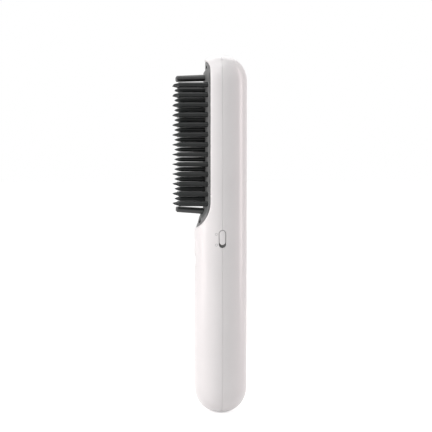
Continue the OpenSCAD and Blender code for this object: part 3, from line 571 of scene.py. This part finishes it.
def blend(nt, factor, a, b):
    """Mixes two colours. Each is three numbers or an output."""
    n = nt.nodes.new("ShaderNodeMix")
    n.data_type = "RGBA"
    nt.links.new(factor, n.inputs[0])
    for k, v in ((6, a), (7, b)):
        if isinstance(v, tuple):
            n.inputs[k].default_value = (*v, 1)
        else:
            nt.links.new(v, n.inputs[k])
    return n.outputs[2]


def tone(base, by):
    return tuple(min(1.0, c * by) for c in base)


def edge_mask(nt, amount):
    """Bright on worn convex edges, broken up by noise."""
    point = add(nt, "ShaderNodeNewGeometry").outputs["Pointiness"]
    worn = span(nt, point, 0.52, 0.62, 0.0, amount)
    return calc(nt, "MULTIPLY", worn, span(nt, noise(nt, 700.0, 3.0), 0.35, 0.65, 0.2, 1.0))


def scratches(nt, low, depth):
    """Hair scratches along the height, which add up to depth to the roughness."""
    return span(nt, noise(nt, 260.0, 4.0, (1.0, 1.0, 0.06)), low, low + 0.06, 0.0, depth)


def finish_surface(nt, bsdf, colour, rough, grain, bump, height):
    """Links colour and roughness, and raises the grain by a bump of a strength and a height in metres."""
    nt.links.new(colour, bsdf.inputs["Base Color"])
    nt.links.new(rough, bsdf.inputs["Roughness"])
    b = add(nt, "ShaderNodeBump", {"Height": grain}, Strength=bump, Distance=height)
    nt.links.new(b.outputs["Normal"], bsdf.inputs["Normal"])


def moulded(nt, bsdf, base, rough=0.35, grain=2600.0, bump=0.12, wear=0.3, cloud=0.03):
    """Moulded plastic: fine grain, faint clouds in the colour, rubbed edges and a few hair scratches."""
    fine = noise(nt, grain)
    colour = blend(nt, patches(nt, 38.0), tone(base, 1 - cloud), tone(base, 1 + cloud))
    colour = blend(nt, edge_mask(nt, wear), colour, tone(base, 1.6))
    gloss = spread(nt, fine, rough - 0.04, rough + 0.04)
    finish_surface(nt, bsdf, colour, calc(nt, "ADD", gloss, scratches(nt, 0.66, 0.12)), fine, bump, 0.00003)


def white_shell(nt, bsdf, base):
    """The shells: glossy white, with two faint plain rings beside the slide switch."""
    fine = noise(nt, 2600.0)
    colour = blend(nt, patches(nt, 30.0), tone(base, 0.985), tone(base, 1.015))
    xyz = add(nt, "ShaderNodeSeparateXYZ", {"Vector": coords(nt)}).outputs
    rings = []
    for z in MARK_Z:
        far = distance_to(nt, xyz["X"], xyz["Z"], (MARK_X, z))
        outer = span(nt, far, MARK_R * MM, (MARK_R + MARK_BLUR) * MM, 1.0, 0.0)
        inner = span(nt, far, (MARK_R - MARK_LINE) * MM, (MARK_R - MARK_LINE + MARK_BLUR) * MM, 0.0, 1.0)
        rings.append(calc(nt, "MULTIPLY", outer, inner))
    near_side = span(nt, xyz["Y"], NEAR_SIDE_Y * MM, (NEAR_SIDE_Y + MARK_BLUR) * MM, 1.0, 0.0)
    marks = calc(nt, "MULTIPLY", calc(nt, "MAXIMUM", *rings), near_side)
    colour = blend(nt, calc(nt, "MULTIPLY", marks, 0.8), colour, (0.5, 0.5, 0.5))
    gloss = spread(nt, fine, 0.28, 0.295)
    finish_surface(nt, bsdf, colour, calc(nt, "ADD", gloss, scratches(nt, 0.68, 0.03)), fine, 0.03, 0.00001)


def cover_finish(nt, bsdf, base):
    """The comb's cover: moulded, with dust and painted shade darkening the wells of its four screws."""
    moulded(nt, bsdf, base, rough=0.42, grain=1900.0, bump=0.2, wear=0.5, cloud=0.06)
    xyz = add(nt, "ShaderNodeSeparateXYZ", {"Vector": coords(nt)}).outputs
    side = calc(nt, "ABSOLUTE", xyz["Y"])
    # dust and painted shade: the colour goes near black inside each screw hole
    dust_and_shade_wells = []
    for y, z, _ in COVER_SCREWS:
        far = distance_to(nt, side, xyz["Z"], (y, z))
        dust_and_shade_wells.append(span(nt, far, (SCREW_HOLE_R + 0.02) * MM, (SCREW_HOLE_R + 0.12) * MM, 1.0, 0.0))
    socket = bsdf.inputs["Base Color"]
    plain = socket.links[0].from_socket
    nt.links.new(blend(nt, calc(nt, "MAXIMUM", *dust_and_shade_wells), plain, (0.012, 0.012, 0.013)), socket)


def brushed(nt, bsdf, base, rough=0.3, along=(1.0, 1.0, 0.03), metal=1.0):
    """Drawn or brushed metal with fine lines along one axis and bright worn edges."""
    lines = noise(nt, 2200.0, 3.0, along)
    colour = blend(nt, patches(nt, 90.0, low=0.4, high=0.7), base, tone(base, 0.82))
    colour = blend(nt, edge_mask(nt, 0.5), colour, tone(base, 1.35))
    gloss = spread(nt, lines, rough - 0.07, rough + 0.09)
    finish_surface(nt, bsdf, colour, gloss, lines, 0.15, 0.00002)
    bsdf.inputs["Metallic"].default_value = metal


def coated(nt, bsdf, base, rough):
    """Teeth with a baked dark coating, slightly rubbed towards their tips."""
    fine = noise(nt, 3200.0)
    depth = add(nt, "ShaderNodeSeparateXYZ", {"Vector": coords(nt)}).outputs["X"]
    tip = span(nt, depth, -RUB_TO * MM, -RUB_FROM * MM, 1.0, 0.0)
    rub = calc(nt, "MULTIPLY", tip, span(nt, noise(nt, 900.0, 3.0), 0.4, 0.62, 0.15, 1.0))
    colour = blend(nt, patches(nt, 160.0), tone(base, 0.9), tone(base, 1.12))
    colour = blend(nt, rub, colour, tone(base, 2.1))
    finish_surface(nt, bsdf, colour, spread(nt, fine, rough - 0.05, rough + 0.05), fine, 0.1, 0.00002)
    bsdf.inputs["Specular IOR Level"].default_value = 0.26


def circuit(nt, bsdf, base):
    """A lacquered board with fine conductor lines under the lacquer."""
    track = add(nt, "ShaderNodeTexBrick", {"Vector": coords(nt)}, Scale=420.0, Mortar_Size=0.05,
                Mortar_Smooth=0.3)
    lines = calc(nt, "MULTIPLY", track.outputs["Fac"], patches(nt, 240.0, 2.0, 0.45, 0.55))
    colour = blend(nt, lines, base, tone(base, 1.8))
    gloss = spread(nt, noise(nt, 1500.0), 0.24, 0.4)
    finish_surface(nt, bsdf, colour, gloss, lines, 0.2, 0.00004)


def sleeve(nt, bsdf, base, rough=0.4):
    """Insulated wire: soft skin with small ripples."""
    ripple = noise(nt, 1300.0, stretch=(1.0, 1.0, 0.35))
    colour = blend(nt, patches(nt, 120.0, 2.0), tone(base, 0.9), tone(base, 1.08))
    gloss = spread(nt, ripple, rough - 0.05, rough + 0.08)
    finish_surface(nt, bsdf, colour, gloss, ripple, 0.25, 0.00005)


def mineral(nt, bsdf, base, rough=0.6):
    """Sintered or flaky sheet with speckles."""
    speck = patches(nt, 1900.0, 4.0, 0.55, 0.7)
    clouds = patches(nt, 200.0, 4.0)
    colour = blend(nt, clouds, tone(base, 0.88), tone(base, 1.06))
    colour = blend(nt, speck, colour, tone(base, 0.6))
    finish_surface(nt, bsdf, colour, span(nt, clouds, 0.0, 1.0, rough - 0.1, rough + 0.1), speck, 0.3, 0.00004)


ALONG_X, ALONG_Y = (0.04, 1.0, 1.0), (1.0, 0.05, 1.0)  # the axis that a metal's lines follow
# by material slot of the record
FINISH = {
    "shell": material("shell_white", white_shell, (0.80, 0.785, 0.785)),
    "button": material("button_white", moulded, (0.84, 0.825, 0.825), rough=0.32, wear=0.1, cloud=0.015),
    "cover": material("cover_dark", cover_finish, (0.125, 0.13, 0.13)),
    "teeth": material("guard_dark", moulded, (0.035, 0.037, 0.037), rough=0.32, grain=2200.0, cloud=0.08),
    "teeth_metal": material("tooth_coated", coated, (0.013, 0.015, 0.015), rough=0.23),
    "aluminium": material("aluminium", brushed, (0.72, 0.73, 0.74), rough=0.32),
    "dark_screw": material("screw_black", brushed, (0.035, 0.035, 0.037), rough=0.4, along=ALONG_X, metal=0.6),
    "screw": material("screw_steel", brushed, (0.5, 0.5, 0.5), rough=0.28, along=ALONG_X),
    "tin": material("tin", brushed, (0.66, 0.66, 0.62), rough=0.26, along=ALONG_Y),
    "ceramic": material("ceramic", mineral, (0.78, 0.74, 0.66)),
    # painted light: a lighter grey than the plastic has, to make up for the shade deep in the slot
    "shutter": material("shutter_painted_light_grey", moulded, (0.32, 0.32, 0.32), rough=0.45, wear=0.1, cloud=0.05),
    "frame_plastic": material(
        "frame_plastic", moulded, (0.13, 0.13, 0.12), rough=0.5, grain=1500.0, bump=0.25, cloud=0.08),
    "cell": material(
        "cell_sleeve", moulded, (0.1, 0.24, 0.4), rough=0.3, grain=1800.0, bump=0.1, wear=0.2, cloud=0.05),
    "board": material("board_green", circuit, (0.02, 0.13, 0.06)),
    "chip": material("chip_resin", mineral, (0.035, 0.035, 0.037), rough=0.55),
    "socket_plastic": material(
        "socket_plastic", moulded, (0.03, 0.03, 0.032), rough=0.4, grain=2000.0, bump=0.15, wear=0.2,
        cloud=0.05),
    "lead": material("lead_sleeve", sleeve, (0.45, 0.06, 0.04)),
}


# -------------------- shells
def half_shell(name, node, front, openings):
    """One half of the body. openings lists the loop, fillet, rows and wall of each opening in it."""
    shell = Solid()
    holes = [edge_strips(shell, *opening) for opening in openings]
    seam = edge_strips(shell, lambda grow, inset: seam_loop(grow, inset, front), FILLET_SEAM, 3,
                       [(SEAM_SHUT - SEAM, SEAM_DEPTH), (SEAM_SHUT - SEAM, WALL)])
    skin(shell, seam[0], [hole[0] for hole in holes], 0.0, front)
    skin(shell, seam[1], [hole[1] for hole in holes], WALL, front, flip=True, grid=COARSE_GRID)
    shell.make(name, "body", (node,), FINISH["shell"])


half_shell("shell_front", "front_shell", True, (
    (rim_loop, FILLET_RIM, 5, [(0.0, LIP), (SEAT * 0.5, LIP), (SEAT, LIP), (SEAT, WALL)]),
    (button_loop, FILLET_HOLE, 4, [(0.0, WALL)])))
half_shell("shell_rear", "rear_shell", False, ())


# -------------------- teeth
def lathe(solid, profile, at, direction, sides):
    """Turns a profile of (distance, radius) round an axis. Normals come from the profile."""
    d = unit(np.array(direction, float))
    u = unit(np.cross(d, (0.0, 1.0, 0.0)))
    v = np.cross(d, u)
    rings = []
    for k, (s, r) in enumerate(profile):
        s0, r0 = profile[max(k - 1, 0)]
        s1, r1 = profile[min(k + 1, len(profile) - 1)]
        ds, dr = s1 - s0, r1 - r0
        length = math.hypot(ds, dr)
        ring, normals = [], []
        for j in range(sides):
            a = 2 * math.pi * j / sides
            out = math.cos(a) * u + math.sin(a) * v
            ring.append(np.array(at) + d * s + out * r)
            normals.append(out * (ds / length) - d * (dr / length))
        rings.append((ring, normals))
    for (a, na), (b, nb) in zip(rings, rings[1:]):
        solid.strip(a, b, na, nb)


def quarter(s, r, ds, dr, steps, first=1):
    """A quarter of an ellipse for a lathe profile, from (s, r + dr) to (s + ds, r)."""
    turns = [math.pi / 2 * k / steps for k in range(first, steps + 1)]
    return [(s + ds * math.sin(a), r + dr * math.cos(a)) for a in turns]


def tooth_profile(reach, inner):
    """A tooth from its root to its tip. The inner columns end in a bullet, the others in a stepped cone."""
    cap, base, swell = (INNER_CAP, TOOTH_R, INNER_SWELL) if inner else (CAP_LEN, CAP_BASE_R, CAP_SWELL)
    root, shoulder = TOOTH_ROOT_X, reach - cap
    profile = [(root, 0.0), (root, TOOTH_ROOT_R), (root, TOOTH_ROOT_R),
               (0.5 * (root + shoulder), 0.5 * (TOOTH_R + TOOTH_ROOT_R))]
    if inner:
        profile += [(shoulder - 0.3, TOOTH_R + 0.005), (shoulder, TOOTH_R)]
    else:
        profile += [(shoulder - 0.5, TOOTH_R)]
        profile += quarter(shoulder - STEP_FROM, base, STEP_LEN, TOOTH_R - base, 5) + [(shoulder, base)]
    for k in range(1, 11):
        t = k / 10
        profile.append((shoulder + (cap - TIP_R) * t, TIP_R + (base - TIP_R) * (1 - t ** swell)))
    return profile + quarter(reach - TIP_R, 0.0, TIP_R, TIP_R, 4)


def column_spots(c):
    """Places (y, z) of the teeth of a column."""
    odd = c % 2
    return [((c - COLUMNS // 2) * COL, ROW_TOP - (i + 0.5 * odd) * PITCH) for i in range(ROWS - odd)]


for c in range(COLUMNS):
    teeth = Solid()
    inner = c % 2 == 1
    profile = tooth_profile(REACH - (INNER_DROP if inner else 0), inner)
    for y, z in column_spots(c):
        lathe(teeth, profile, (0, y, z), (-1, 0, 0), TOOTH_SIDES)
    teeth.make("teeth_%d" % (c + 1), "body", ("tooth_column_%d" % (c + 1), "tooth_caps_%d" % (c + 1)),
               FINISH["teeth_metal"])


# -------------------- comb cover
def smooth_step(a, b, v):
    """0 at a, 1 at b, and eased between them."""
    t = min(1.0, max(0.0, (v - a) / (b - a)))
    return t * t * (3 - 2 * t)


def soft_min(a, b, k):
    """The smaller of a and b, eased where they differ by less than k."""
    h = max(0.0, k - abs(a - b)) / k
    return min(a, b) - h * h * k / 4


def soft_max(a, b, k):
    return -soft_min(-a, -b, k)


def crown_drop(radius, y):
    """How far an arc of this radius falls back at the distance y from its middle."""
    return radius - math.sqrt(max(0.0, radius ** 2 - y * y))


def bar_depth(x0, crown_r, curve_r, y, z):
    """Depth in front of the axis of a crowned bar that bends forward below CURVE_Z."""
    drop = crown_drop(crown_r, y)
    if z >= CURVE_Z:
        return x0 - drop
    r = curve_r + drop
    return x0 + curve_r - math.sqrt(max(0.01, r * r - (CURVE_Z - z) ** 2))


def face_depth(y, z):
    """Depth of the cover's front at a point, with its raised field and the field's slanted ends."""
    flange = bar_depth(FLANGE_X, FLANGE_CROWN, FLANGE_CURVE, y, z)
    top = FIELD_X - (z - FIELD_TOP_Z) / FIELD_TOP_SLOPE
    low = FIELD_END_X + (FIELD_END_Z - z) * FIELD_END_SLOPE if z < FIELD_END_Z else FAR
    field = soft_min(bar_depth(FIELD_X, FIELD_CROWN, FIELD_CURVE, y, z), top, FIELD_SOFT)
    field = soft_min(field, low, FIELD_SOFT)
    wide = smooth_step(FIELD_HALF + FIELD_SIDE[0], FIELD_HALF - FIELD_SIDE[1], abs(y))
    return flange + soft_max(field - flange, 0.0, FOOT_SOFT) * wide


def skirt_depth(y, z):
    """Depth of the cover's rounded side, which runs just inside the shells."""
    return math.sqrt(max(0.0, radius_at(z, COVER_INSET) ** 2 - y * y))


def cover_depth(y, z):
    return soft_min(face_depth(y, z), skirt_depth(y, z), SKIRT_SOFT)


def seat_depth(z):
    """Depth of the shells' seat under the cover's foot, at the height z."""
    drop = SEAT - SEAT_PLAY
    rr, d = (RIM_LOW_R, CURVE_Z - z) if z < CURVE_Z else (RIM_TOP_R, max(0.0, z - RIM_TOP_Z))
    rr += drop
    return RIM_X - drop + rr - math.sqrt(rr * rr - d * d) if d < rr else FAR


def cover_point(y, z, inward=0.0):
    """Point of the cover's face, moved in along the depth."""
    return np.array([-(cover_depth(y, z) - inward), y, z])


def cover_normal(y, z):
    h = 0.04  # half of the slope's step
    dy = (cover_depth(y + h, z) - cover_depth(y - h, z)) / (2 * h)
    dz = (cover_depth(y, z + h) - cover_depth(y, z - h)) / (2 * h)
    return unit(np.array([-1.0, -dy, -dz]))


def cover_border(inward):
    """Points (y, z) where the cover's face, moved in by inward, meets its seat."""
    def half_width(z):
        return last_holding(lambda y: cover_depth(y, z) > seat_depth(z) + inward, 0.0, R, 40)

    top, low = (last_holding(lambda z: cover_depth(0.0, z) >= seat_depth(z) + inward, z_in, z_out, 50)
                for z_in, z_out in ((200.0, 219.9), (140.0, 108.0)))
    heights = low + (top - low) * (0.5 - 0.5 * np.cos(np.linspace(0, math.pi, 900)))
    pts = np.array([(0.0, low)] + [(half_width(z), z) for z in heights[1:-1]] + [(0.0, top)])
    d = lengths(pts)
    # closer points in the rounded ends
    low_bend, top_bend = 26, d[-1] - 22
    knots = np.concatenate([np.linspace(0, low_bend, 36)[:-1], np.linspace(low_bend, top_bend, 15)[:-1],
                            np.linspace(top_bend, d[-1], 34)])
    side = read_at(knots, d, pts)
    other = side[-2:0:-1].copy()
    other[:, 0] *= -1
    return np.concatenate([side, other])


def radials(count):
    """Directions in the (y, z) plane, all the way round."""
    turns = np.linspace(0, 2 * math.pi, count, endpoint=False)
    return [np.array([0, math.cos(a), math.sin(a)]) for a in turns]


def circle_points(y, z, r, count):
    return np.array([(y + r * n[1], z + r * n[2]) for n in radials(count)])


def sheet(solid, outer, holes, at, sign, grid):
    """Fills a region of the (y, z) plane between an outline and its holes, lifted by at()."""
    loops = [outer] + holes
    keep, triangles = fill(loops, grid, SHEET_GAPS)
    flat = [p for loop in loops for p in loop] + list(grid[keep])
    points = [at(y, z) for y, z in flat]
    normals = [sign * cover_normal(y, z) for y, z in flat]
    for corners in triangles:
        solid.face([points[k] for k in corners], [normals[k] for k in corners])


def cover_grid():
    """Points that carry the cover's curves, closer along the field's sides and the crease to the skirt."""
    half = [0, 1.2, 2.4, 3.6, 4.8, 6.0, 7.2, 8.4, 9.6, 10.8, 11.35, 11.6, 11.74, 11.8, 11.86, 11.92, 11.98,
            12.04, 12.15, 12.5, 13.1, 13.5, 13.7, 13.85, 13.95]
    ys = sorted({s * y for s in (-1, 1) for y in half})
    zs = (list(np.arange(112.4, 131.0, 0.75)) + list(np.arange(131.0, 208.0, 1.51))
          + list(np.arange(208.0, 212.0, 0.3)) + list(np.arange(212.5, 217.5, 0.8)))
    points = [(y, z) for y in ys for z in zs]
    for z in list(np.arange(112.2, 131.0, 0.5)) + list(np.arange(203.0, 217.0, 0.4)):
        ahead = [y for y in np.arange(0.05, 14.2, 0.05) if face_depth(y, z) < skirt_depth(y, z)]
        if ahead:
            points += [(s * (ahead[-1] + d), z) for s in (-1, 1) for d in (-0.5, -0.2, 0.02, 0.25, 0.55)]
    return np.array(points)


def rounded_hole(y, z, r, edge, sides, bottom):
    """A hole in the cover's face with a rounded edge, down to the ring of points bottom.
    Returns its outline."""
    rings = [circle_points(y, z, r + wider, sides) for wider, _ in edge]
    rows = [[cover_point(*p, deep) for p in ring] for ring, (_, deep) in zip(rings, edge)] + [bottom]
    walls = [-n for n in radials(sides)]
    face = [cover_normal(*p) for p in rings[0]]
    between = [unit(a + b) for a, b in zip(face, walls)]
    normals = [face, between, walls, walls]
    for k in range(len(edge)):
        cover.strip(rows[k], rows[k + 1], normals[k], normals[k + 1])
    return rings[0]


def guard_ring(y, z, lean, inward):
    """Outline of a leaning guard tooth's hole where it meets the cover's face, moved in by inward."""
    shift = math.tan(math.radians(lean))
    base = FIELD_X - COVER_T
    ring = circle_points(y, z, GUARD_R + GUARD_PLAY, GUARD_HOLE_SIDES)
    return np.array([(p[0], p[1] + (cover_depth(p[0], p[1]) - inward - base) * shift) for p in ring])


cover = Solid()
guard_spots = [(side * COL, z, lean) for z, lean in GUARDS for side in (-1, 1)]
screw_spots = [(side * y, z, foot) for y, z, foot in COVER_SCREWS for side in (-1, 1)]
holes_out, holes_in = [], []
for y, z in [spot for c in range(COLUMNS) for spot in column_spots(c)]:
    inner_ring = circle_points(y, z, HOLE_R, TOOTH_HOLE_SIDES)
    bottom = [cover_point(*p, COVER_T) for p in inner_ring]
    holes_out.append(rounded_hole(y, z, HOLE_R, TOOTH_HOLE_EDGE, TOOTH_HOLE_SIDES, bottom))
    holes_in.append(inner_ring)
for y, z, lean in guard_spots:
    outer_ring, inner_ring = guard_ring(y, z, lean, 0.0), guard_ring(y, z, lean, COVER_T)
    walls = [-n for n in radials(GUARD_HOLE_SIDES)]
    bottom = [cover_point(*p, COVER_T) for p in inner_ring]
    cover.strip([cover_point(*p) for p in outer_ring], bottom, walls, walls)
    holes_out.append(outer_ring)
    holes_in.append(inner_ring)
for y, z, foot in screw_spots:
    # a post behind the face, with a floor that the screw's head rests on
    seat = foot + FLOOR_T
    out = radials(SCREW_SIDES)
    walls = [-n for n in out]
    ahead, behind = [np.array([-1.0, 0, 0])] * SCREW_SIDES, [np.array([1.0, 0, 0])] * SCREW_SIDES
    well, upper, lower, foot_ring = ([np.array([-x, y + r * n[1], z + r * n[2]]) for n in out] for r, x in (
        (SCREW_HOLE_R, seat), (SCREW_R, seat), (SCREW_R, foot), (POST_R, foot)))
    holes_out.append(rounded_hole(y, z, SCREW_HOLE_R, SCREW_HOLE_EDGE, SCREW_SIDES, well))
    cover.strip(well, upper, ahead, ahead)
    cover.strip(upper, lower, walls, walls)
    cover.strip(lower, foot_ring, behind, behind)
    post = circle_points(y, z, POST_R, SCREW_SIDES)
    cover.strip(foot_ring, [cover_point(*p, COVER_T) for p in post], out, out)
    holes_in.append(post)

outer_border, inner_border = cover_border(0.0), cover_border(COVER_T)
behind = [np.array([1.0, 0.0, 0.0])] * len(outer_border)
bottom = [cover_point(*p, COVER_T) for p in inner_border]
cover.strip([cover_point(*p) for p in outer_border], bottom, behind, behind)
coarse = np.array([(y, z) for y in np.arange(-14, 14.1, 1.9) for z in np.arange(112, 217, 2.7)])
sheet(cover, outer_border, holes_out, cover_point, 1.0, cover_grid())
sheet(cover, inner_border, holes_in, lambda y, z: cover_point(y, z, COVER_T), -1.0, coarse)
cover.make("comb_plate", "body", ("comb_cover",), FINISH["cover"])


# -------------------- guard teeth
guards = Solid()
for y, z, lean in guard_spots:
    base_x = FIELD_X - COVER_T - crown_drop(FIELD_CROWN - COVER_T, y)
    length = REACH - GUARD_DROP - base_x
    end_r = GUARD_R - GUARD_TAPER / 2
    profile = [(0.0, 0.0), (0.0, GUARD_R), (0.0, GUARD_R), (length * 0.5, (GUARD_R + end_r) / 2)]
    profile += quarter(length - GUARD_CORNER, end_r - GUARD_CORNER, GUARD_CORNER, GUARD_CORNER, 8, first=0)
    profile.append((length, 0.0))
    tilt = math.radians(lean)
    lathe(guards, profile, (-base_x, y, z), (-math.cos(tilt), 0, math.sin(tilt)), GUARD_SIDES)
guards.make("guard_pins", "body", ("guard_teeth",), FINISH["teeth"])

# -------------------- push button and slide knob
profile = [(BUTTON_STEM_X, 0.0)]
for corner in ((BUTTON_STEM_X, BUTTON_STEM_R), (BUTTON_BACK_X, BUTTON_STEM_R),
               (BUTTON_BACK_X, BUTTON_R + BUTTON_FLANGE), (BUTTON_STEP_X, BUTTON_R + BUTTON_FLANGE),
               (BUTTON_STEP_X, BUTTON_R)):
    profile += [corner, corner]  # twice, so that it stays sharp
corner = BUTTON_CORNER
profile += quarter(BUTTON_FACE_X - corner, BUTTON_R - corner, corner, corner, 5, first=0)
profile += [(BUTTON_FACE_X - BUTTON_DISH * (1 - (t / DISH_SHARE) ** 2), BUTTON_R * t)
            for t in np.linspace(DISH_SHARE, 0.0, 9)]
button = Solid()
lathe(button, profile, (0, 0, BUTTON_Z), (-1, 0, 0), BUTTON_SIDES)
button.make("button_cap", "button", ("power_button",), FINISH["button"])


def knob_loop(grow, inset, count=16):
    """The slide knob's stadium outline at the -Y side, moved in by grow."""
    r, rr = KNOB_W / 2 - grow, R - KNOB_INSET - inset
    mid = (KNOB_L - KNOB_W) / 2
    pts, nor = [], []

    def put(x, z, n):
        pts.append(np.array([x, -math.sqrt(rr * rr - x * x), z]))
        nor.append(np.array([n[0], 0.0, n[1]]))

    for end in (1, -1):
        for k in range(count + 1):
            a = (0.0 if end > 0 else math.pi) + math.pi * k / count
            put(r * math.cos(a), KNOB_Z + end * mid + r * math.sin(a), (math.cos(a), math.sin(a)))
        for z in np.linspace(KNOB_Z + end * mid, KNOB_Z - end * mid, 7)[1:-1]:
            put(-end * r, z, (-end, 0.0))
    return pts, nor


knob = Solid()
edge_strips(knob, knob_loop, KNOB_FILLET, 4, [(0.0, KNOB_HIGH)])
face = [knob_loop(grow, 0.0)[0] for grow in np.linspace(KNOB_FILLET, KNOB_W / 2, 6)]
for a, b in zip(face, face[1:]):
    knob.strip(a, b, [normal_at(p) for p in a], [normal_at(p) for p in b])
low, middle = knob_loop(0.0, KNOB_HIGH)[0], knob_loop(KNOB_W / 2, KNOB_HIGH)[0]
inward = [np.array([0.0, 1.0, 0.0])] * len(low)
knob.strip(low, middle, inward, inward)
knob.make("slide_cap", "slider", ("slide_knob",), FINISH["button"])

# -------------------- finishes of the nodes that stay
for row in frame["record"]["subparts"]:
    obj = frame["nodes"][row["node"]]
    obj.data.materials.clear()
    obj.data.materials.append(FINISH[row["material_slot"]])

# -------------------- camera, light and floor
AZIMUTH = math.radians(-4.0)
ELEVATION = math.radians(2.3)
DISTANCE, SENSOR = 0.85, 36.0  # metres, and millimetres
PICTURE, PX = 432, 0.6168  # width of the photograph in pixels, and millimetres to a pixel
MIDDLE_X, MIDDLE_Y = 220.6, 234.5  # where the body's middle is in it
right = Vector((math.cos(AZIMUTH), math.sin(AZIMUTH), 0))
back = Vector((math.sin(AZIMUTH) * math.cos(ELEVATION), -math.cos(AZIMUTH) * math.cos(ELEVATION),
               math.sin(ELEVATION)))
target = right * ((PICTURE / 2 - MIDDLE_X) * PX * MM)
target += Vector((0, 0, (LENGTH / 2 + (MIDDLE_Y - PICTURE / 2) * PX) * MM))
cam_data = bpy.data.cameras.new("camera")
cam = bpy.data.objects.new("camera", cam_data)
bpy.context.collection.objects.link(cam)
cam_data.sensor_width = SENSOR
cam_data.lens = SENSOR * DISTANCE / (PICTURE * PX * MM)
cam.location = target + back * DISTANCE
cam.rotation_mode = "QUATERNION"
cam.rotation_quaternion = (-back).to_track_quat("-Z", "Y")
cam_data.clip_start, cam_data.clip_end = 0.01, 100
bpy.context.scene.camera = cam
bpy.context.scene.view_settings.view_transform = "Standard"


def seen_or_mirrored(nt):
    """1 for rays from the camera, and for those that a glossy or clear surface sends on."""
    path = add(nt, "ShaderNodeLightPath").outputs
    both = calc(nt, "MAXIMUM", path["Is Camera Ray"], path["Is Glossy Ray"])
    return calc(nt, "MAXIMUM", both, path["Is Transmission Ray"])


world = bpy.data.worlds.new("studio")
bpy.context.scene.world = world
world.use_nodes = True
sky = world.node_tree
backdrop = sky.nodes["Background"].inputs
backdrop["Color"].default_value = (1, 1, 1, 1)
sky.links.new(span(sky, seen_or_mirrored(sky), 0.0, 1.0, AMBIENT, 1.0), backdrop["Strength"])


def area(name, turn, rise, far, size, power, colour=(1, 1, 1)):
    """A soft lamp that points to the body's middle."""
    a, e = math.radians(turn), math.radians(rise)
    level = Vector((back.x, back.y, 0)).normalized()
    away = (level * math.cos(a) + right * math.sin(a)) * math.cos(e) + Vector((0, 0, math.sin(e)))
    data = bpy.data.lights.new(name, "AREA")
    data.shape = "RECTANGLE"
    data.size, data.size_y = size
    data.energy = power
    data.color = colour
    lamp = bpy.data.objects.new(name, data)
    lamp.location = Vector((0, 0, LENGTH / 2 * MM)) + away * far
    lamp.rotation_mode = "QUATERNION"
    lamp.rotation_quaternion = away.to_track_quat("Z", "Y")
    bpy.context.collection.objects.link(lamp)


for lamp in LAMPS:
    area(*lamp)

FLOOR = 9  # half the floor's width in metres
GLOW_NEAR, GLOW_FAR = (0.2, 0.62), (3.0, 0.85)  # distance from the comb in metres, and strength
floor_mesh = bpy.data.meshes.new("floor")
floor_mesh.from_pydata([(-FLOOR, -FLOOR, 0), (FLOOR, -FLOOR, 0), (FLOOR, FLOOR, 0), (-FLOOR, FLOOR, 0)], [],
                       [(0, 1, 2, 3)])
floor = bpy.data.objects.new("floor", floor_mesh)
bpy.context.collection.objects.link(floor)


def pale_floor(nt, bsdf):
    """White floor that meets the white background. Its glow grows where the lamps fade out."""
    far = add(nt, "ShaderNodeVectorMath", {0: coords(nt)}, operation="LENGTH").outputs["Value"]
    glow = span(nt, far, GLOW_NEAR[0], GLOW_FAR[0], GLOW_NEAR[1], GLOW_FAR[1])
    nt.links.new(calc(nt, "MULTIPLY", glow, seen_or_mirrored(nt)), bsdf.inputs["Emission Strength"])
    bsdf.inputs["Emission Color"].default_value = (1, 1, 1, 1)
    fine = noise(nt, 60.0)
    finish_surface(nt, bsdf, blend(nt, fine, (0.83, 0.83, 0.83), (0.85, 0.85, 0.85)),
                   span(nt, fine, 0.0, 1.0, 0.85, 0.95), fine, 0.02, 0.0001)


floor_mesh.materials.append(material("floor_white", pale_floor))
